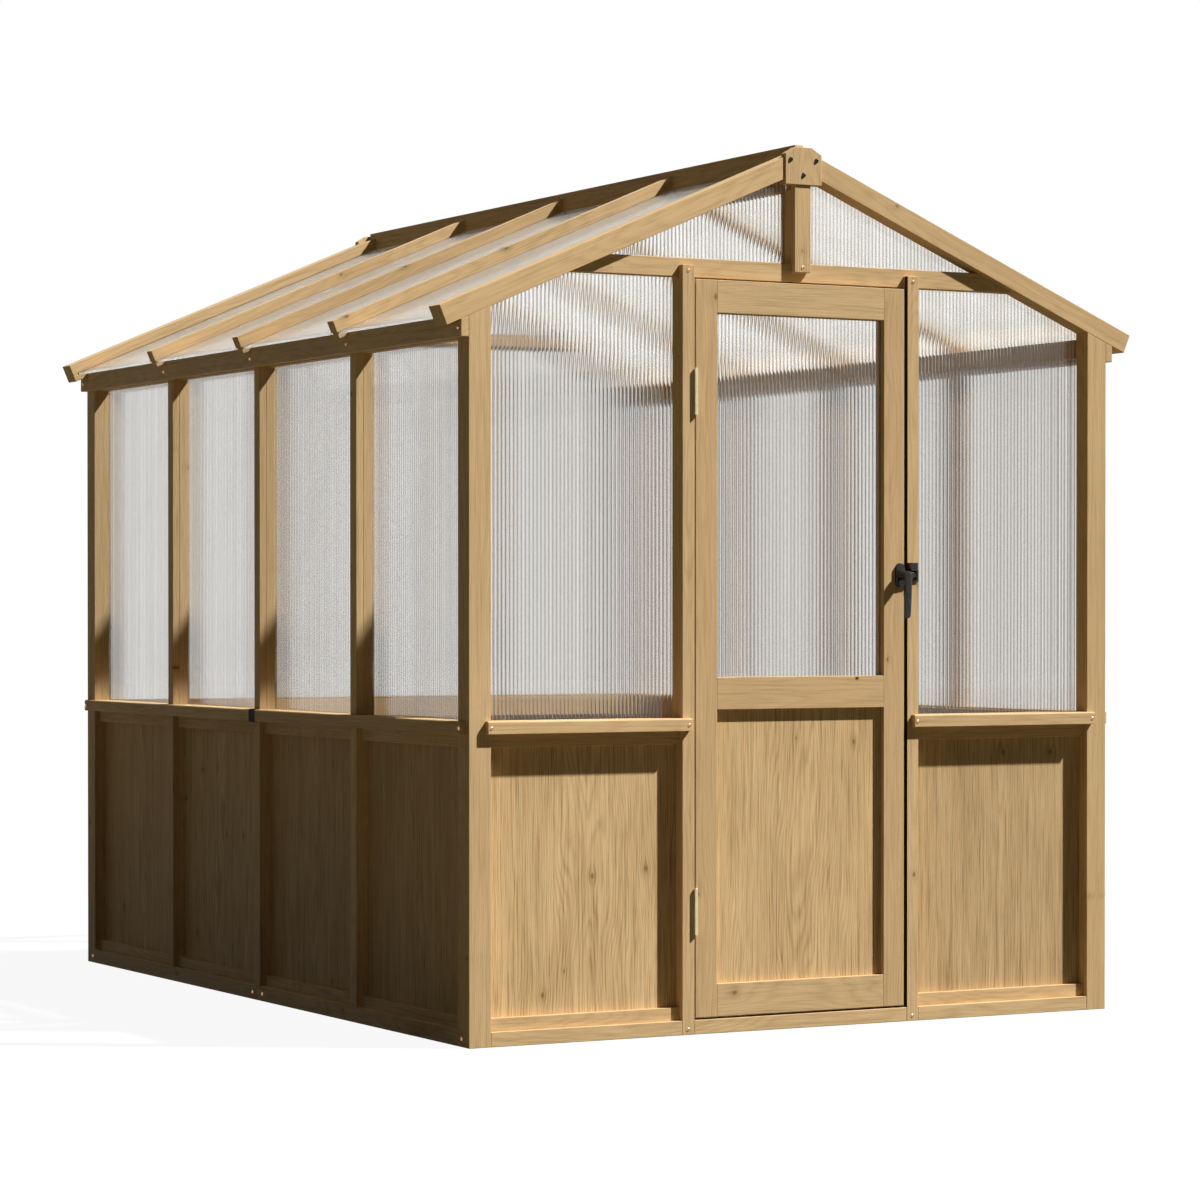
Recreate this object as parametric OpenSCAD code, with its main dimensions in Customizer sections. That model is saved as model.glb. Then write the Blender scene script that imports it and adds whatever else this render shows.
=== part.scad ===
// Wooden greenhouse with a pitched roof and a half-glazed door in the front gable.
// The front gable faces -Y, the door hangs on its left jamb, +Z is up.
// The origin lies on the ground at the centre of the footprint.

/* [House] */
// Width over the corner posts
house_w = 1830; // [1600:10:2400]
// Depth over the corner posts
house_d = 2480; // [1800:10:3600]
// Slope of the roof in degrees
roof_pitch = 23; // [21:0.5:27]
// Bays in each side wall
side_bays = 4; // [2:2:6]

/* [Posts and studs] */
// Side of a square corner post, and the depth of every wall
post_s = 58; // [54:1:70]
// Face width of a side stud
stud_w = 35; // [32:1:48]
// Face width of a door jamb
jamb_w = 34; // [30:1:46]

/* [Wall rails] */
// Height of a cross rail
rail_h = 58; // [48:1:70]
// How far rails and battens stand back from the outer face
rail_set = 15; // [8:1:18]
// Underside of the rails below the sills
waist_z = 702; // [600:1:760]
// Depth of the top rail's underside below the rafter seat
top_rail_drop = 49; // [45:1:70]
// Height of the base rails of the sides
base_side_h = 39; // [30:1:55]
// Height of the base rails of the gables
base_end_h = 35; // [30:1:50]
// Thickness left where a side base rail laps over posts and studs
base_lap = 20; // [14:1:24]
// Wood left in front of the base rail's end in a post's foot
base_stop = 12; // [6:1:20]
// Top of the battens at the foot of the panels
batten_z = 66; // [60:1:80]

/* [Sills] */
// Height of a sill's front edge
sill_h = 31; // [22:1:36]
// How far a sill stands out from the wall
sill_out = 15; // [8:1:24]
// Thickness of a sill where it covers the rail
sill_cover = 5; // [3:0.5:8]
// Distance from a wall's end to the end of its sill
sill_end = 15; // [10:1:30]
// How far a gable sill runs on to the jamb
sill_on_jamb = 20; // [10:1:24]
// Width of the joint clip in the middle of a side sill
clip_w = 34; // [20:1:60]
// Thickness of the joint clip
clip_t = 2; // [1:0.5:3]

/* [Panels and glazing] */
// Thickness of the lower panels
panel_t = 15; // [10:1:16]
// How far the lower panels stand back from the outer face
panel_set = 33; // [28:1:34]
// Depth of the grooves that hold the lower panels
panel_groove = 6; // [4:0.5:6]
// Thickness of the glazing sheets
sheet_t = 6; // [4:1:6]
// How far the side glazing stands back from the outer face
sheet_set_side = 44; // [40:1:46]
// Depth of the glazing rebates in studs and posts of the sides
rebate_side = 10; // [6:1:12]
// Depth of the glazing rebates in the gables
rebate_end = 8; // [5:0.5:8]
// Clearance at the edges of sheets and boards
edge_gap = 0.3; // [0.1:0.1:1]

/* [Gables] */
// Crossbeam's underside above the rafter seat at the outer face of a post
cross_up = 117; // [95:1:130]
// Height of the crossbeam
cross_h = 46; // [40:1:60]
// How far the crossbeam stands back, and the thickness of the laps in front of it
cross_set = 18; // [12:1:22]
// Length of the jamb's lap over the crossbeam
jamb_lap = 28; // [20:1:36]
// Width of the king post
king_w = 46; // [36:1:60]
// Depth of the king post
king_d = 70; // [60:1:90]
// Length of the king post's lap over the crossbeam
king_lap = 23; // [15:1:32]

/* [Roof] */
// Depth of the gable rafters, square to the slope
rafter_h = 50; // [44:1:70]
// Depth of the rafters between the gables
mid_rafter_h = 46; // [40:1:48]
// Width of the rafters between the gables
mid_rafter_w = 36; // [30:1:48]
// Overhang of the gable rafters beyond the posts
rafter_over = 57; // [48:1:90]
// Overhang of the sheets and the rafters between the gables
sheet_over = 43; // [32:1:46]
// Height of the rafters above the roof sheets
rafter_up = 30; // [20:1:32]
// Depth of the grooves for the roof sheets
roof_groove = 8; // [5:1:9]
// Thickness of the ridge board
ridge_t = 25; // [18:1:36]
// Height of the ridge board
ridge_h = 110; // [90:1:140]
// Height of the ridge board above the rafters
ridge_up = 16.5; // [5:0.5:30]
// Thickness of the eave beams
eave_t = 20; // [14:1:24]

/* [Apex plates] */
// Width of an apex plate
plate_w = 104; // [80:1:150]
// Height of an apex plate
plate_h = 92; // [80:1:110]
// Thickness of an apex plate
plate_t = 22; // [18:1:30]
// How far an apex plate stands out from the gable
plate_proud = 4; // [1:0.5:8]
// Width of an apex plate's flat top
plate_top_w = 46; // [30:1:70]
// Height of the sloped shoulders of an apex plate
plate_shoulder = 17; // [8:1:26]

/* [Door] */
// Clear width between the jambs
doorway_w = 612; // [560:1:700]
// Height of the door leaf
door_h = 1784; // [1650:1:2000]
// Thickness of the door leaf
door_t = 40; // [36:1:42]
// Gap at the hinges
gap_hinge = 3; // [2.6:0.1:4]
// Gap on the latch side
gap_latch = 9; // [3:0.5:10]
// Gap above the base rail
gap_foot = 5; // [3:0.5:12]
// Gap below the crossbeam
gap_head = 5; // [3:0.5:12]
// Width of the door's stiles
stile_w = 60; // [50:1:80]
// Height of the door's top rail
door_top_h = 80; // [60:1:100]
// Height of the door's middle rail
door_mid_h = 79; // [60:1:100]
// Height of the door's bottom rail
door_low_h = 80; // [60:1:120]
// Middle rail's underside above the door's foot
door_mid_up = 744; // [600:1:850]
// Depth of the grooves in the door's frame
door_groove = 9; // [6:1:12]
// How far the door's glazing and panel stand back from its front
door_set = 15; // [10:1:18]
// Width of the stops behind the door
stop_w = 12; // [8:1:18]
// Clearance between the door and its stops
stop_gap = 0.5; // [0.3:0.1:2]

/* [Hinges] */
// Height of a hinge
hinge_h = 112; // [80:1:140]
// Foot of the lower hinge above the door's foot
hinge_low = 201; // [120:1:260]
// Top of the upper hinge below the door's head
hinge_high = 216; // [120:1:260]
// Outer diameter of the knuckles
knuckle_d = 8.5; // [8:0.5:10]
// Diameter of the hinge pin
pin_d = 5; // [4:0.1:5.5]
// Thickness of a hinge leaf
leaf_t = 1.2; // [0.8:0.1:1.25]
// Width of a hinge leaf behind the face of the door
leaf_w = 28; // [18:1:34]
// Radial clearance of the pin in the turning knuckles
pin_gap = 0.05; // [0.02:0.01:0.1]

/* [Latch] */
// Height of the latch above the door's foot
latch_up = 1072; // [950:1:1150]
// Latch axis to the edge of the door
latch_in = 14; // [13:0.5:24]
// Width of the rose
rose_w = 26; // [24:1:30]
// Height of the rose
rose_h = 61; // [50:1:80]
// Thickness of the rose
rose_t = 8; // [5:0.5:9]
// Height of the collar on the rose
collar_t = 3; // [2:0.5:4]
// Diameter of the spindle
spindle_d = 16; // [12:0.5:18]
// Reach of the handle in front of the door
lever_out = 46; // [40:1:60]
// Length of the lever below its axis
lever_l = 117; // [90:1:150]
// Width of the lever
lever_w = 20; // [16:1:24]
// Thickness of the spur
spur_t = 6; // [4:0.5:8]
// Height of the spur's tip
spur_h = 14; // [10:1:16]
// Clearance between the spur and its keep
spur_gap = 1.2; // [0.5:0.1:3]
// Length of the keep's nose
nose_l = 16; // [12:1:20]
// Height of the keep's nose
nose_h = 20; // [14:1:26]
// Width of the keep's plate
keep_w = 14; // [10:1:15]
// Height of the keep's plate
keep_h = 30; // [24:1:40]

/* [Fasteners] */
// Screws in the ends of sills, from the sill's end
screw_in = 9; // [7:0.5:14]
// Screws in the eave beam, from the beam's end
eave_screw_in = 18; // [10:1:40]
// Screws in the eave beam, above its underside
eave_screw_up = 22; // [12:1:30]
// Screws in the base rails, from the corner
base_screw_in = 40; // [26:1:46]
// Screws in the base rails, from their joint in the middle
base_screw_mid = 32; // [10:1:60]
// Upper apex bolts, from the middle of the plate
bolt_side = 37; // [20:1:42]
// Upper apex bolts below the top of the plate
bolt_drop = 31; // [26:1:40]
// Lower apex bolt below the top of the plate
bolt_low = 68; // [50:1:76]
// Diameter of the domed screw heads
screw_d = 9.6; // [7:0.2:12]
// Height of the domed screw heads
screw_t = 2.4; // [1.5:0.1:4]
// Diameter of the apex bolts' heads
bolt_d = 12; // [8:0.5:16]
// Height of the apex bolts' heads
bolt_t = 4; // [2:0.5:6]
// Clearance between parts that move past each other
run_gap = 0.4; // [0.3:0.1:1]

/* [Hidden] */

cp = cos(roof_pitch);
sn = sin(roof_pitch);
tp = tan(roof_pitch);
hw = house_w / 2;
hd = house_d / 2;
yf = -hd;
xi = hw - post_s;
yi = hd - post_s;

// side wall: clear bays between posts and studs
bay = (2 * yi - (side_bays - 1) * stud_w) / side_bays;
function bay0(k) = -yi + k * (bay + stud_w);
function stud_y(k) = bay0(k) - stud_w / 2;

// doorway and crossbeam
ji = doorway_w / 2;
jo = ji + jamb_w;
cross_z = base_end_h + gap_foot + door_h + gap_head;
eave_h = cross_z - cross_up;
sheet_set_end = sheet_set_side + sheet_t;
sill_top = waist_z + rail_h + sill_cover;
sill_low = sill_top - sill_h;
glass_z = waist_z + rail_h;
top_rail_z = eave_h - top_rail_drop;

// roof planes: n is the height above the gable rafters' underside, square to the slope
mid_n = rafter_h - mid_rafter_h;
sheet_n = rafter_h - rafter_up - sheet_t;
function under(x, n = 0) = eave_h + (hw - abs(x)) * tp + n / cp;
function on_slope(over, n) = [-hw - over - n * sn, eave_h - over * tp + n * cp];
function x_under(z, n = 0) = hw - (z - n / cp - eave_h) / tp;
ridge_z = under(ridge_t / 2, rafter_h) + ridge_up;
plate_back = plate_t - plate_proud;
plate_z = ridge_z - 8 - plate_h;

// door
door_z = base_end_h + gap_foot;
dx0 = -ji + gap_hinge;
dx1 = ji - gap_latch;
door_mid_z = door_z + door_mid_up;

// hinge axis
knuckle_r = knuckle_d / 2;
hinge_x = -ji + gap_hinge / 2;
hinge_y = yf - knuckle_r - run_gap;
hinge_zs = [door_z + hinge_low, door_z + door_h - hinge_high - hinge_h];
knuckles = 5;
knuckle_h = (hinge_h - (knuckles - 1) * run_gap) / knuckles;

// latch
latch_x = dx1 - latch_in;
latch_z = door_z + latch_up;
keep_x = ji + nose_l + 1;
spur_l = keep_x - spur_gap - latch_x;

module box(x0, x1, y0, y1, z0, z1) {
    translate([x0, y0, z0]) cube([x1 - x0, y1 - y0, z1 - z0]);
}

// an outline in X and Z, run along Y
module along_y(y0, y1) {
    translate([0, y1, 0]) rotate([90, 0, 0]) linear_extrude(y1 - y0) children();
}

// an outline in X and Z with slopes, drawn from the height of the eaves
module roof_outline(points) {
    translate([0, eave_h]) polygon([for (p = points) [p[0], p[1] - eave_h]]);
}

// an outline in Y and Z, run along X
module along_x(x0, x1) {
    translate([x0, 0, 0]) rotate([90, 0, 90]) linear_extrude(x1 - x0) children();
}

module to_right() {
    mirror([1, 0, 0]) children();
}

module to_rear() {
    mirror([0, 1, 0]) children();
}

module both_sides() {
    children();
    mirror([1, 0, 0]) children();
}

module both_ends() {
    children();
    mirror([0, 1, 0]) children();
}

// Posts and studs

// corner post: foot notched for the side base rail, grooved for panels, rebated for sheets
module post() {
    color("burlywood") difference() {
        along_y(yf, -yi) roof_outline([[-hw, 0], [-xi, 0], [-xi, under(xi)], [-hw, under(hw)]]);
        box(-hw - 1, -hw + base_lap, yf + base_stop, -yi + 1, -1, base_side_h);
        post_seats();
        side_seat(-yi, -1);
    }
}

// panel groove and sheet rebate in the face towards the doorway
module post_seats() {
    box(-xi - panel_groove, -xi + 1, yf + panel_set, yf + panel_set + panel_t,
        base_end_h, waist_z + panel_groove);
    box(-xi - rebate_end, -xi + 1, yf + sheet_set_end, -yi + 1, glass_z, under(0));
}

// the same in a face that looks along the side wall
module side_seat(y, dir) {
    pg = dir * panel_groove;
    rg = dir * rebate_side;
    box(-hw + panel_set, -hw + panel_set + panel_t, min(y + pg, y - dir), max(y + pg, y - dir),
        base_side_h, waist_z + panel_groove);
    box(-hw + sheet_set_side, -xi + 1, min(y + rg, y - dir), max(y + rg, y - dir),
        glass_z, top_rail_z + rebate_side);
}

// studs stand behind the base rail
module studs() {
    x = hw - base_lap;
    color("burlywood") for (k = [1 : side_bays - 1]) difference() {
        along_y(bay0(k) - stud_w, bay0(k))
            roof_outline([[-x, 0], [-xi, 0], [-xi, under(xi, mid_n)], [-x, under(x, mid_n)]]);
        side_seat(bay0(k) - stud_w, 1);
        side_seat(bay0(k), -1);
    }
}

// cover strips on the studs' outer faces, from the base rail to the rafters
module stud_covers() {
    x = hw - base_lap;
    color("burlywood") both_sides() for (k = [1 : side_bays - 1])
        along_y(bay0(k) - stud_w, bay0(k)) roof_outline([[-hw, base_side_h], [-x, base_side_h],
            [-x, under(x, mid_n)], [-hw, under(hw, mid_n)]]);
}

// jamb or rear stud: lapped over the base rail and over the crossbeam
module jamb_blank() {
    difference() {
        along_x(-jo, -ji) polygon([[yf, 0], [yf + cross_set, 0], [yf + cross_set, base_end_h],
            [-yi, base_end_h], [-yi, cross_z], [yf + cross_set, cross_z],
            [yf + cross_set, cross_z + jamb_lap], [yf, cross_z + jamb_lap]]);
        end_seat(-jo, 1);
    }
}

module end_seat(x, dir) {
    pg = dir * panel_groove;
    rg = dir * rebate_end;
    box(min(x + pg, x - dir), max(x + pg, x - dir), yf + panel_set, yf + panel_set + panel_t,
        base_end_h, waist_z + panel_groove);
    box(min(x + rg, x - dir), max(x + rg, x - dir), yf + sheet_set_end, -yi + 1, glass_z, cross_z + 1);
}

module jamb() {
    color("burlywood") jamb_blank();
}

module studs_rear() {
    color("burlywood") to_rear() both_sides() difference() {
        jamb_blank();
        end_seat(-ji, -1);
    }
}

// strips behind the door, on both jambs and below the crossbeam
module door_stops() {
    sy = yf + door_t + stop_gap;
    color("burlywood") {
        both_sides() box(-ji, -ji + stop_w, sy, -yi, base_end_h, cross_z);
        box(-ji + stop_w, ji - stop_w, sy, -yi, cross_z - stop_w - gap_head, cross_z);
    }
}

// Base rails

// two lengths that meet at the middle stud, housed for every stud and post foot
module base_rails() {
    color("burlywood") both_ends() {
        box(-hw, -hw + base_lap, yf + base_stop, 0, 0, base_side_h);
        for (k = [0 : side_bays / 2 - 1])
            box(-hw, -xi, bay0(k), bay0(k) + bay, 0, base_side_h);
    }
}

module base_rail_end() {
    difference() {
        box(-xi, xi, yf, -yi, 0, base_end_h);
        both_sides() box(-jo, -ji, yf - 1, yf + cross_set, -1, base_end_h + 1);
    }
}

// Rails, battens and lower panels

module side_rail(k, z, h) {
    box(-hw + rail_set, -xi, bay0(k), bay0(k) + bay, z, z + h);
}

module waist_rails() {
    color("burlywood") for (k = [0 : side_bays - 1]) difference() {
        side_rail(k, waist_z, rail_h);
        box(-hw + panel_set, -hw + panel_set + panel_t, bay0(k) - 1, bay0(k) + bay + 1,
            waist_z - 1, waist_z + panel_groove);
    }
}

module top_rails() {
    color("burlywood") for (k = [0 : side_bays - 1]) difference() {
        side_rail(k, top_rail_z, rail_h);
        box(-hw + sheet_set_side, -xi + 1, bay0(k) - 1, bay0(k) + bay + 1,
            top_rail_z - 1, top_rail_z + rebate_side);
    }
}

module end_rail(x0, x1) {
    difference() {
        box(x0, x1, yf + rail_set, -yi, waist_z, waist_z + rail_h);
        box(x0 - 1, x1 + 1, yf + panel_set, yf + panel_set + panel_t,
            waist_z - 1, waist_z + panel_groove);
    }
}

module waist_rails_front() {
    color("burlywood") both_sides() end_rail(-xi, -jo);
}

module waist_rails_rear() {
    color("burlywood") to_rear() {
        both_sides() end_rail(-xi, -jo);
        end_rail(-ji, ji);
    }
}

module side_panels() {
    e = panel_groove - edge_gap;
    color("peru") for (k = [0 : side_bays - 1])
        box(-hw + panel_set, -hw + panel_set + panel_t, bay0(k) - e, bay0(k) + bay + e,
            base_side_h, waist_z + e);
}

module end_panel(x0, x1) {
    e = panel_groove - edge_gap;
    box(x0 - e, x1 + e, yf + panel_set, yf + panel_set + panel_t, base_end_h, waist_z + e);
}

module panels_front() {
    color("peru") {
        end_panel(-xi, -jo);
        end_panel(jo, xi);
    }
}

module panels_rear() {
    color("peru") to_rear() {
        end_panel(-xi, -jo);
        end_panel(-ji, ji);
        end_panel(jo, xi);
    }
}

module end_batten(x0, x1) {
    box(x0, x1, yf + rail_set, yf + panel_set, base_end_h, batten_z);
}

module panel_battens() {
    color("burlywood") {
        both_sides() for (k = [0 : side_bays - 1])
            box(-hw + rail_set, -hw + panel_set, bay0(k), bay0(k) + bay, base_side_h, batten_z);
        both_ends() both_sides() end_batten(-xi, -jo);
        to_rear() end_batten(-ji, ji);
    }
}

// Sills

// section from the wall's outer face inwards: nosing with a drip, and the part over the rail
module sill_nose() {
    polygon([[-sill_out, sill_low], [-sill_out + 4, sill_low], [-sill_out + 5.5, sill_low + 2.5],
        [-sill_out + 7, sill_low], [0, sill_low], [0, sill_top], [-sill_out + 3, sill_top],
        [-sill_out, sill_top - 3]]);
}

module sill_body(back) {
    polygon([[-0.01, sill_low], [rail_set, sill_low], [rail_set, glass_z], [back, glass_z],
        [back, sill_top], [-0.01, sill_top]]);
}

// two lengths a side, notched round the studs and posts
module side_sills() {
    color("burlywood") both_ends() {
        translate([-hw, 0, 0]) along_y(yf + sill_end, 0) sill_nose();
        for (k = [0 : side_bays / 2 - 1])
            translate([-hw, 0, 0]) along_y(bay0(k), bay0(k) + bay) sill_body(sheet_set_side);
    }
}

module end_sill(x0, x1, n0, n1) {
    translate([0, yf, 0]) {
        along_x(n0, n1) sill_nose();
        along_x(x0, x1) sill_body(sheet_set_end);
    }
}

module gable_sills() {
    both_sides() end_sill(-xi, -jo, -hw + post_s - sill_end, -jo + sill_on_jamb);
}

module sills_front() {
    color("burlywood") gable_sills();
}

module sills_rear() {
    color("burlywood") to_rear() {
        gable_sills();
        end_sill(-ji, ji, -ji - jamb_w + sill_on_jamb + 1, ji + jamb_w - sill_on_jamb - 1);
    }
}

// folded clip round the nosing where the two lengths meet
module sill_clips() {
    color("#26262a") both_sides() translate([-hw, 0, 0]) along_y(-clip_w / 2, clip_w / 2)
        polygon([[-sill_out - clip_t, sill_low - clip_t], [-sill_out + 12 - clip_t, sill_low - clip_t],
            [-sill_out + 12 - clip_t, sill_low], [-sill_out, sill_low], [-sill_out, sill_top - 3],
            [-sill_out + 3, sill_top], [-sill_out + 12 - clip_t, sill_top],
            [-sill_out + 12 - clip_t, sill_top + clip_t], [-sill_out + 3 - clip_t / 2, sill_top + clip_t],
            [-sill_out - clip_t, sill_top - 3 + clip_t / 2]]);
}

// Glazing

module side_glazing() {
    e = rebate_side - edge_gap;
    color("lightcyan", 0.35) for (k = [0 : side_bays - 1])
        box(-hw + sheet_set_side, -hw + sheet_set_side + sheet_t, bay0(k) - e, bay0(k) + bay + e,
            glass_z, top_rail_z + e);
}

// pane between a post and a jamb, cut to the rafter and the crossbeam
module end_pane() {
    e = rebate_end - edge_gap;
    top = cross_z + e;
    along_y(yf + sheet_set_end, yf + sheet_set_end + sheet_t)
        roof_outline([[-xi - e, glass_z], [-jo + e, glass_z], [-jo + e, top], [-x_under(top, e), top],
            [-xi - e, under(xi + e, e)]]);
}

module glazing_front() {
    color("lightcyan", 0.35) both_sides() end_pane();
}

module glazing_rear() {
    e = rebate_end - edge_gap;
    color("lightcyan", 0.35) to_rear() {
        both_sides() end_pane();
        box(-ji - e, ji + e, yf + sheet_set_end, yf + sheet_set_end + sheet_t, glass_z, cross_z + e);
    }
}

module gable_glazing() {
    e = rebate_end - edge_gap;
    x0 = king_w / 2 - panel_groove + edge_gap;
    low = cross_z + cross_h - e;
    color("lightcyan", 0.35) both_ends() both_sides()
        along_y(yf + sheet_set_end, yf + sheet_set_end + sheet_t)
            roof_outline([[-x_under(low, e), low], [-x0, low], [-x0, under(x0, e)]]);
}

// Gable frames

module crossbeam() {
    z1 = cross_z + cross_h;
    difference() {
        along_y(yf + cross_set, -yi) roof_outline([[-x_under(cross_z), cross_z],
            [x_under(cross_z), cross_z], [x_under(z1), z1], [-x_under(z1), z1]]);
        both_sides() box(-hw, -jo + rebate_end, yf + sheet_set_end, -yi + 1,
            cross_z - 1, cross_z + rebate_end);
        both_sides() box(-hw, -king_w / 2 + panel_groove, yf + sheet_set_end, -yi + 1,
            z1 - rebate_end, z1 + 1);
    }
}

// the rear one is rebated for the middle pane too
module crossbeams() {
    color("burlywood") {
        crossbeam();
        to_rear() difference() {
            crossbeam();
            box(-ji - rebate_end, ji + rebate_end, yf + sheet_set_end, -yi + 1,
                cross_z - 1, cross_z + rebate_end);
        }
    }
}

// king post: lapped over the crossbeam, grooved for the gable sheets
module king_posts() {
    z0 = cross_z + cross_h;
    zr = ridge_z - ridge_h;
    color("burlywood") both_ends() difference() {
        along_x(-king_w / 2, king_w / 2) polygon([[yf, z0 - king_lap], [yf + cross_set, z0 - king_lap],
            [yf + cross_set, z0], [yf + king_d, z0], [yf + king_d, zr], [yf + plate_back, zr],
            [yf + plate_back, plate_z], [yf, plate_z]]);
        both_sides() box(-king_w / 2 - 1, -king_w / 2 + panel_groove, yf + sheet_set_end,
            yf + sheet_set_end + sheet_t, z0 - 1, zr + 1);
    }
}

// Roof

// outline of a rafter: square end below, plumb cut at the ridge board
module rafter_shape(over, n0, n1) {
    xr = ridge_t / 2;
    roof_outline([on_slope(over, n0), [-xr, under(xr, n0)], [-xr, under(xr, n1)], on_slope(over, n1)]);
}

module sheet_groove(y0, y1) {
    along_y(y0, y1) rafter_shape(sheet_over + edge_gap, sheet_n, sheet_n + sheet_t + edge_gap);
}

module plate_shape() {
    polygon([[-plate_w / 2, plate_z], [plate_w / 2, plate_z],
        [plate_w / 2, plate_z + plate_h - plate_shoulder], [plate_top_w / 2, plate_z + plate_h],
        [-plate_top_w / 2, plate_z + plate_h], [-plate_w / 2, plate_z + plate_h - plate_shoulder]]);
}

module gable_rafters() {
    color("burlywood") both_sides() difference() {
        along_y(yf, -yi) rafter_shape(rafter_over, 0, rafter_h);
        sheet_groove(-yi - roof_groove, -yi + 1);
        along_y(yf + sheet_set_end, -yi + 1) roof_outline([[-xi - rebate_end, under(xi + rebate_end) - 1],
            [0, under(0) - 1], [0, under(0, rebate_end)],
            [-xi - rebate_end, under(xi + rebate_end, rebate_end)]]);
        along_y(yf - 1, yf + plate_back) plate_shape();
    }
}

module eave_shape(n) {
    roof_outline([[-hw - eave_t, top_rail_z], [-hw, top_rail_z], [-hw, under(hw, n)],
        [-hw - eave_t, under(hw + eave_t, n)]]);
}

// eave beam: stands up between the gable rafters to carry the sheets
module eave_beam() {
    color("burlywood") {
        along_y(yf, hd) eave_shape(0);
        along_y(-yi, yi) eave_shape(sheet_n);
    }
}

// rafters at the studs: grooved on both sides, notched over the eave beam
module side_rafters() {
    w = mid_rafter_w / 2;
    color("burlywood") for (k = [1 : side_bays - 1]) let (y = stud_y(k)) difference() {
        along_y(y - w, y + w) rafter_shape(sheet_over, mid_n, rafter_h);
        sheet_groove(y - w - 1, y - w + roof_groove);
        sheet_groove(y + w - roof_groove, y + w + 1);
        along_y(y - w - 1, y + w + 1) eave_shape(sheet_n + edge_gap);
    }
}

module ridge_board() {
    color("burlywood") box(-ridge_t / 2, ridge_t / 2, yf + plate_back, hd - plate_back,
        ridge_z - ridge_h, ridge_z);
}

module roof_glazing() {
    e = roof_groove - edge_gap;
    w = mid_rafter_w / 2;
    color("lightcyan", 0.35) for (k = [0 : side_bays - 1])
        let (y0 = k == 0 ? -yi : stud_y(k) + w, y1 = k == side_bays - 1 ? yi : stud_y(k + 1) - w)
            along_y(y0 - e, y1 + e) rafter_shape(sheet_over, sheet_n, sheet_n + sheet_t);
}

module apex_plates() {
    color("burlywood") both_ends() along_y(yf - plate_proud, yf + plate_back) plate_shape();
}

// Fasteners

module dome(d, t) {
    r = (d * d / 4 + t * t) / (2 * t);
    rotate_extrude($fn = 32) intersection() {
        square([d / 2, t]);
        translate([0, t - r]) circle(r = r, $fn = 64);
    }
}

module apex_bolts() {
    pz = plate_z + plate_h;
    color("#2b2b2e") both_ends()
        for (p = [[-bolt_side, pz - bolt_drop], [bolt_side, pz - bolt_drop], [0, pz - bolt_low]])
        translate([p[0], yf - plate_proud, p[1]]) rotate([90, 0, 0]) dome(bolt_d, bolt_t);
}

module front_dome(x, out, z) {
    translate([x, yf - out, z]) rotate([90, 0, 0]) dome(screw_d, screw_t);
}

module side_dome(out, y, z) {
    translate([-hw - out, y, z]) rotate([0, -90, 0]) dome(screw_d, screw_t);
}

module frame_screws() {
    jx = (ji + jo) / 2;
    sz = (sill_low + sill_top) / 2 - 1;
    color("#b87333") {
        both_ends() {
            both_sides() {
                front_dome(-jx, 0, cross_z + jamb_lap / 2);
                front_dome(-jx, 0, base_end_h / 2 - 4);
                front_dome(-xi - sill_end + screw_in, sill_out, sz);
                front_dome(-jo + sill_on_jamb - screw_in, sill_out, sz);
                side_dome(eave_t, yf + eave_screw_in, top_rail_z + eave_screw_up);
                side_dome(sill_out, yf + sill_end + screw_in, sz);
                side_dome(0, yf + base_screw_in, base_side_h / 2);
                side_dome(0, -base_screw_mid, base_side_h / 2);
            }
            front_dome(0, 0, cross_z + cross_h - king_lap / 2 + 1);
        }
        both_sides() for (k = [1 : side_bays - 1])
            side_dome(eave_t, stud_y(k), top_rail_z + eave_screw_up);
    }
}

// Hinges

// one leaf of a butt hinge: side -1 lies on the jamb, side 1 on the door
module hinge_leaf(z0, side) {
    x0 = side < 0 ? -ji : -ji + gap_hinge - leaf_t;
    r = side < 0 ? pin_d / 2 : pin_d / 2 + pin_gap;
    first = side < 0 ? 0 : 1;
    difference() {
        union() {
            box(x0, x0 + leaf_t, yf, yf + leaf_w, z0, z0 + hinge_h);
            for (i = [first : 2 : knuckles - 1]) let (z = z0 + i * (knuckle_h + run_gap)) {
                box(x0, x0 + leaf_t, hinge_y, yf + 1, z, z + knuckle_h);
                translate([hinge_x, hinge_y, z]) cylinder(r = knuckle_r, h = knuckle_h, $fn = 48);
            }
        }
        translate([hinge_x, hinge_y, z0 - 1]) cylinder(r = r, h = hinge_h + 2, $fn = 48);
    }
}

module hinge_frame_leaves() {
    color("darkgoldenrod") for (z = hinge_zs) hinge_leaf(z, -1);
}

module hinge_door_leaves() {
    color("darkgoldenrod") for (z = hinge_zs) hinge_leaf(z, 1);
}

module hinge_pins() {
    color("darkgoldenrod") for (z = hinge_zs) translate([hinge_x, hinge_y, z]) {
        cylinder(r = pin_d / 2, h = hinge_h, $fn = 48);
        translate([0, 0, hinge_h]) dome(knuckle_d - 1, 1.8);
        mirror([0, 0, 1]) dome(knuckle_d - 1, 1.8);
    }
}

// Door

door_in0 = dx0 + stile_w;
door_in1 = dx1 - stile_w;

module door_pocket(x0, x1, z0, z1, t) {
    box(x0, x1, yf + door_set, yf + door_set + t, z0, z1);
}

module door_stiles() {
    g = door_groove;
    zp = door_mid_z + door_mid_h / 2;
    color("burlywood") difference() {
        union() {
            box(dx0, door_in0, yf, yf + door_t, door_z, door_z + door_h);
            box(door_in1, dx1, yf, yf + door_t, door_z, door_z + door_h);
        }
        door_pocket(door_in0 - g, door_in1 + g, door_z + door_low_h / 2, zp, panel_t);
        door_pocket(door_in0 - g, door_in1 + g, zp, door_z + door_h - door_top_h / 2, sheet_t);
    }
}

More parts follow.
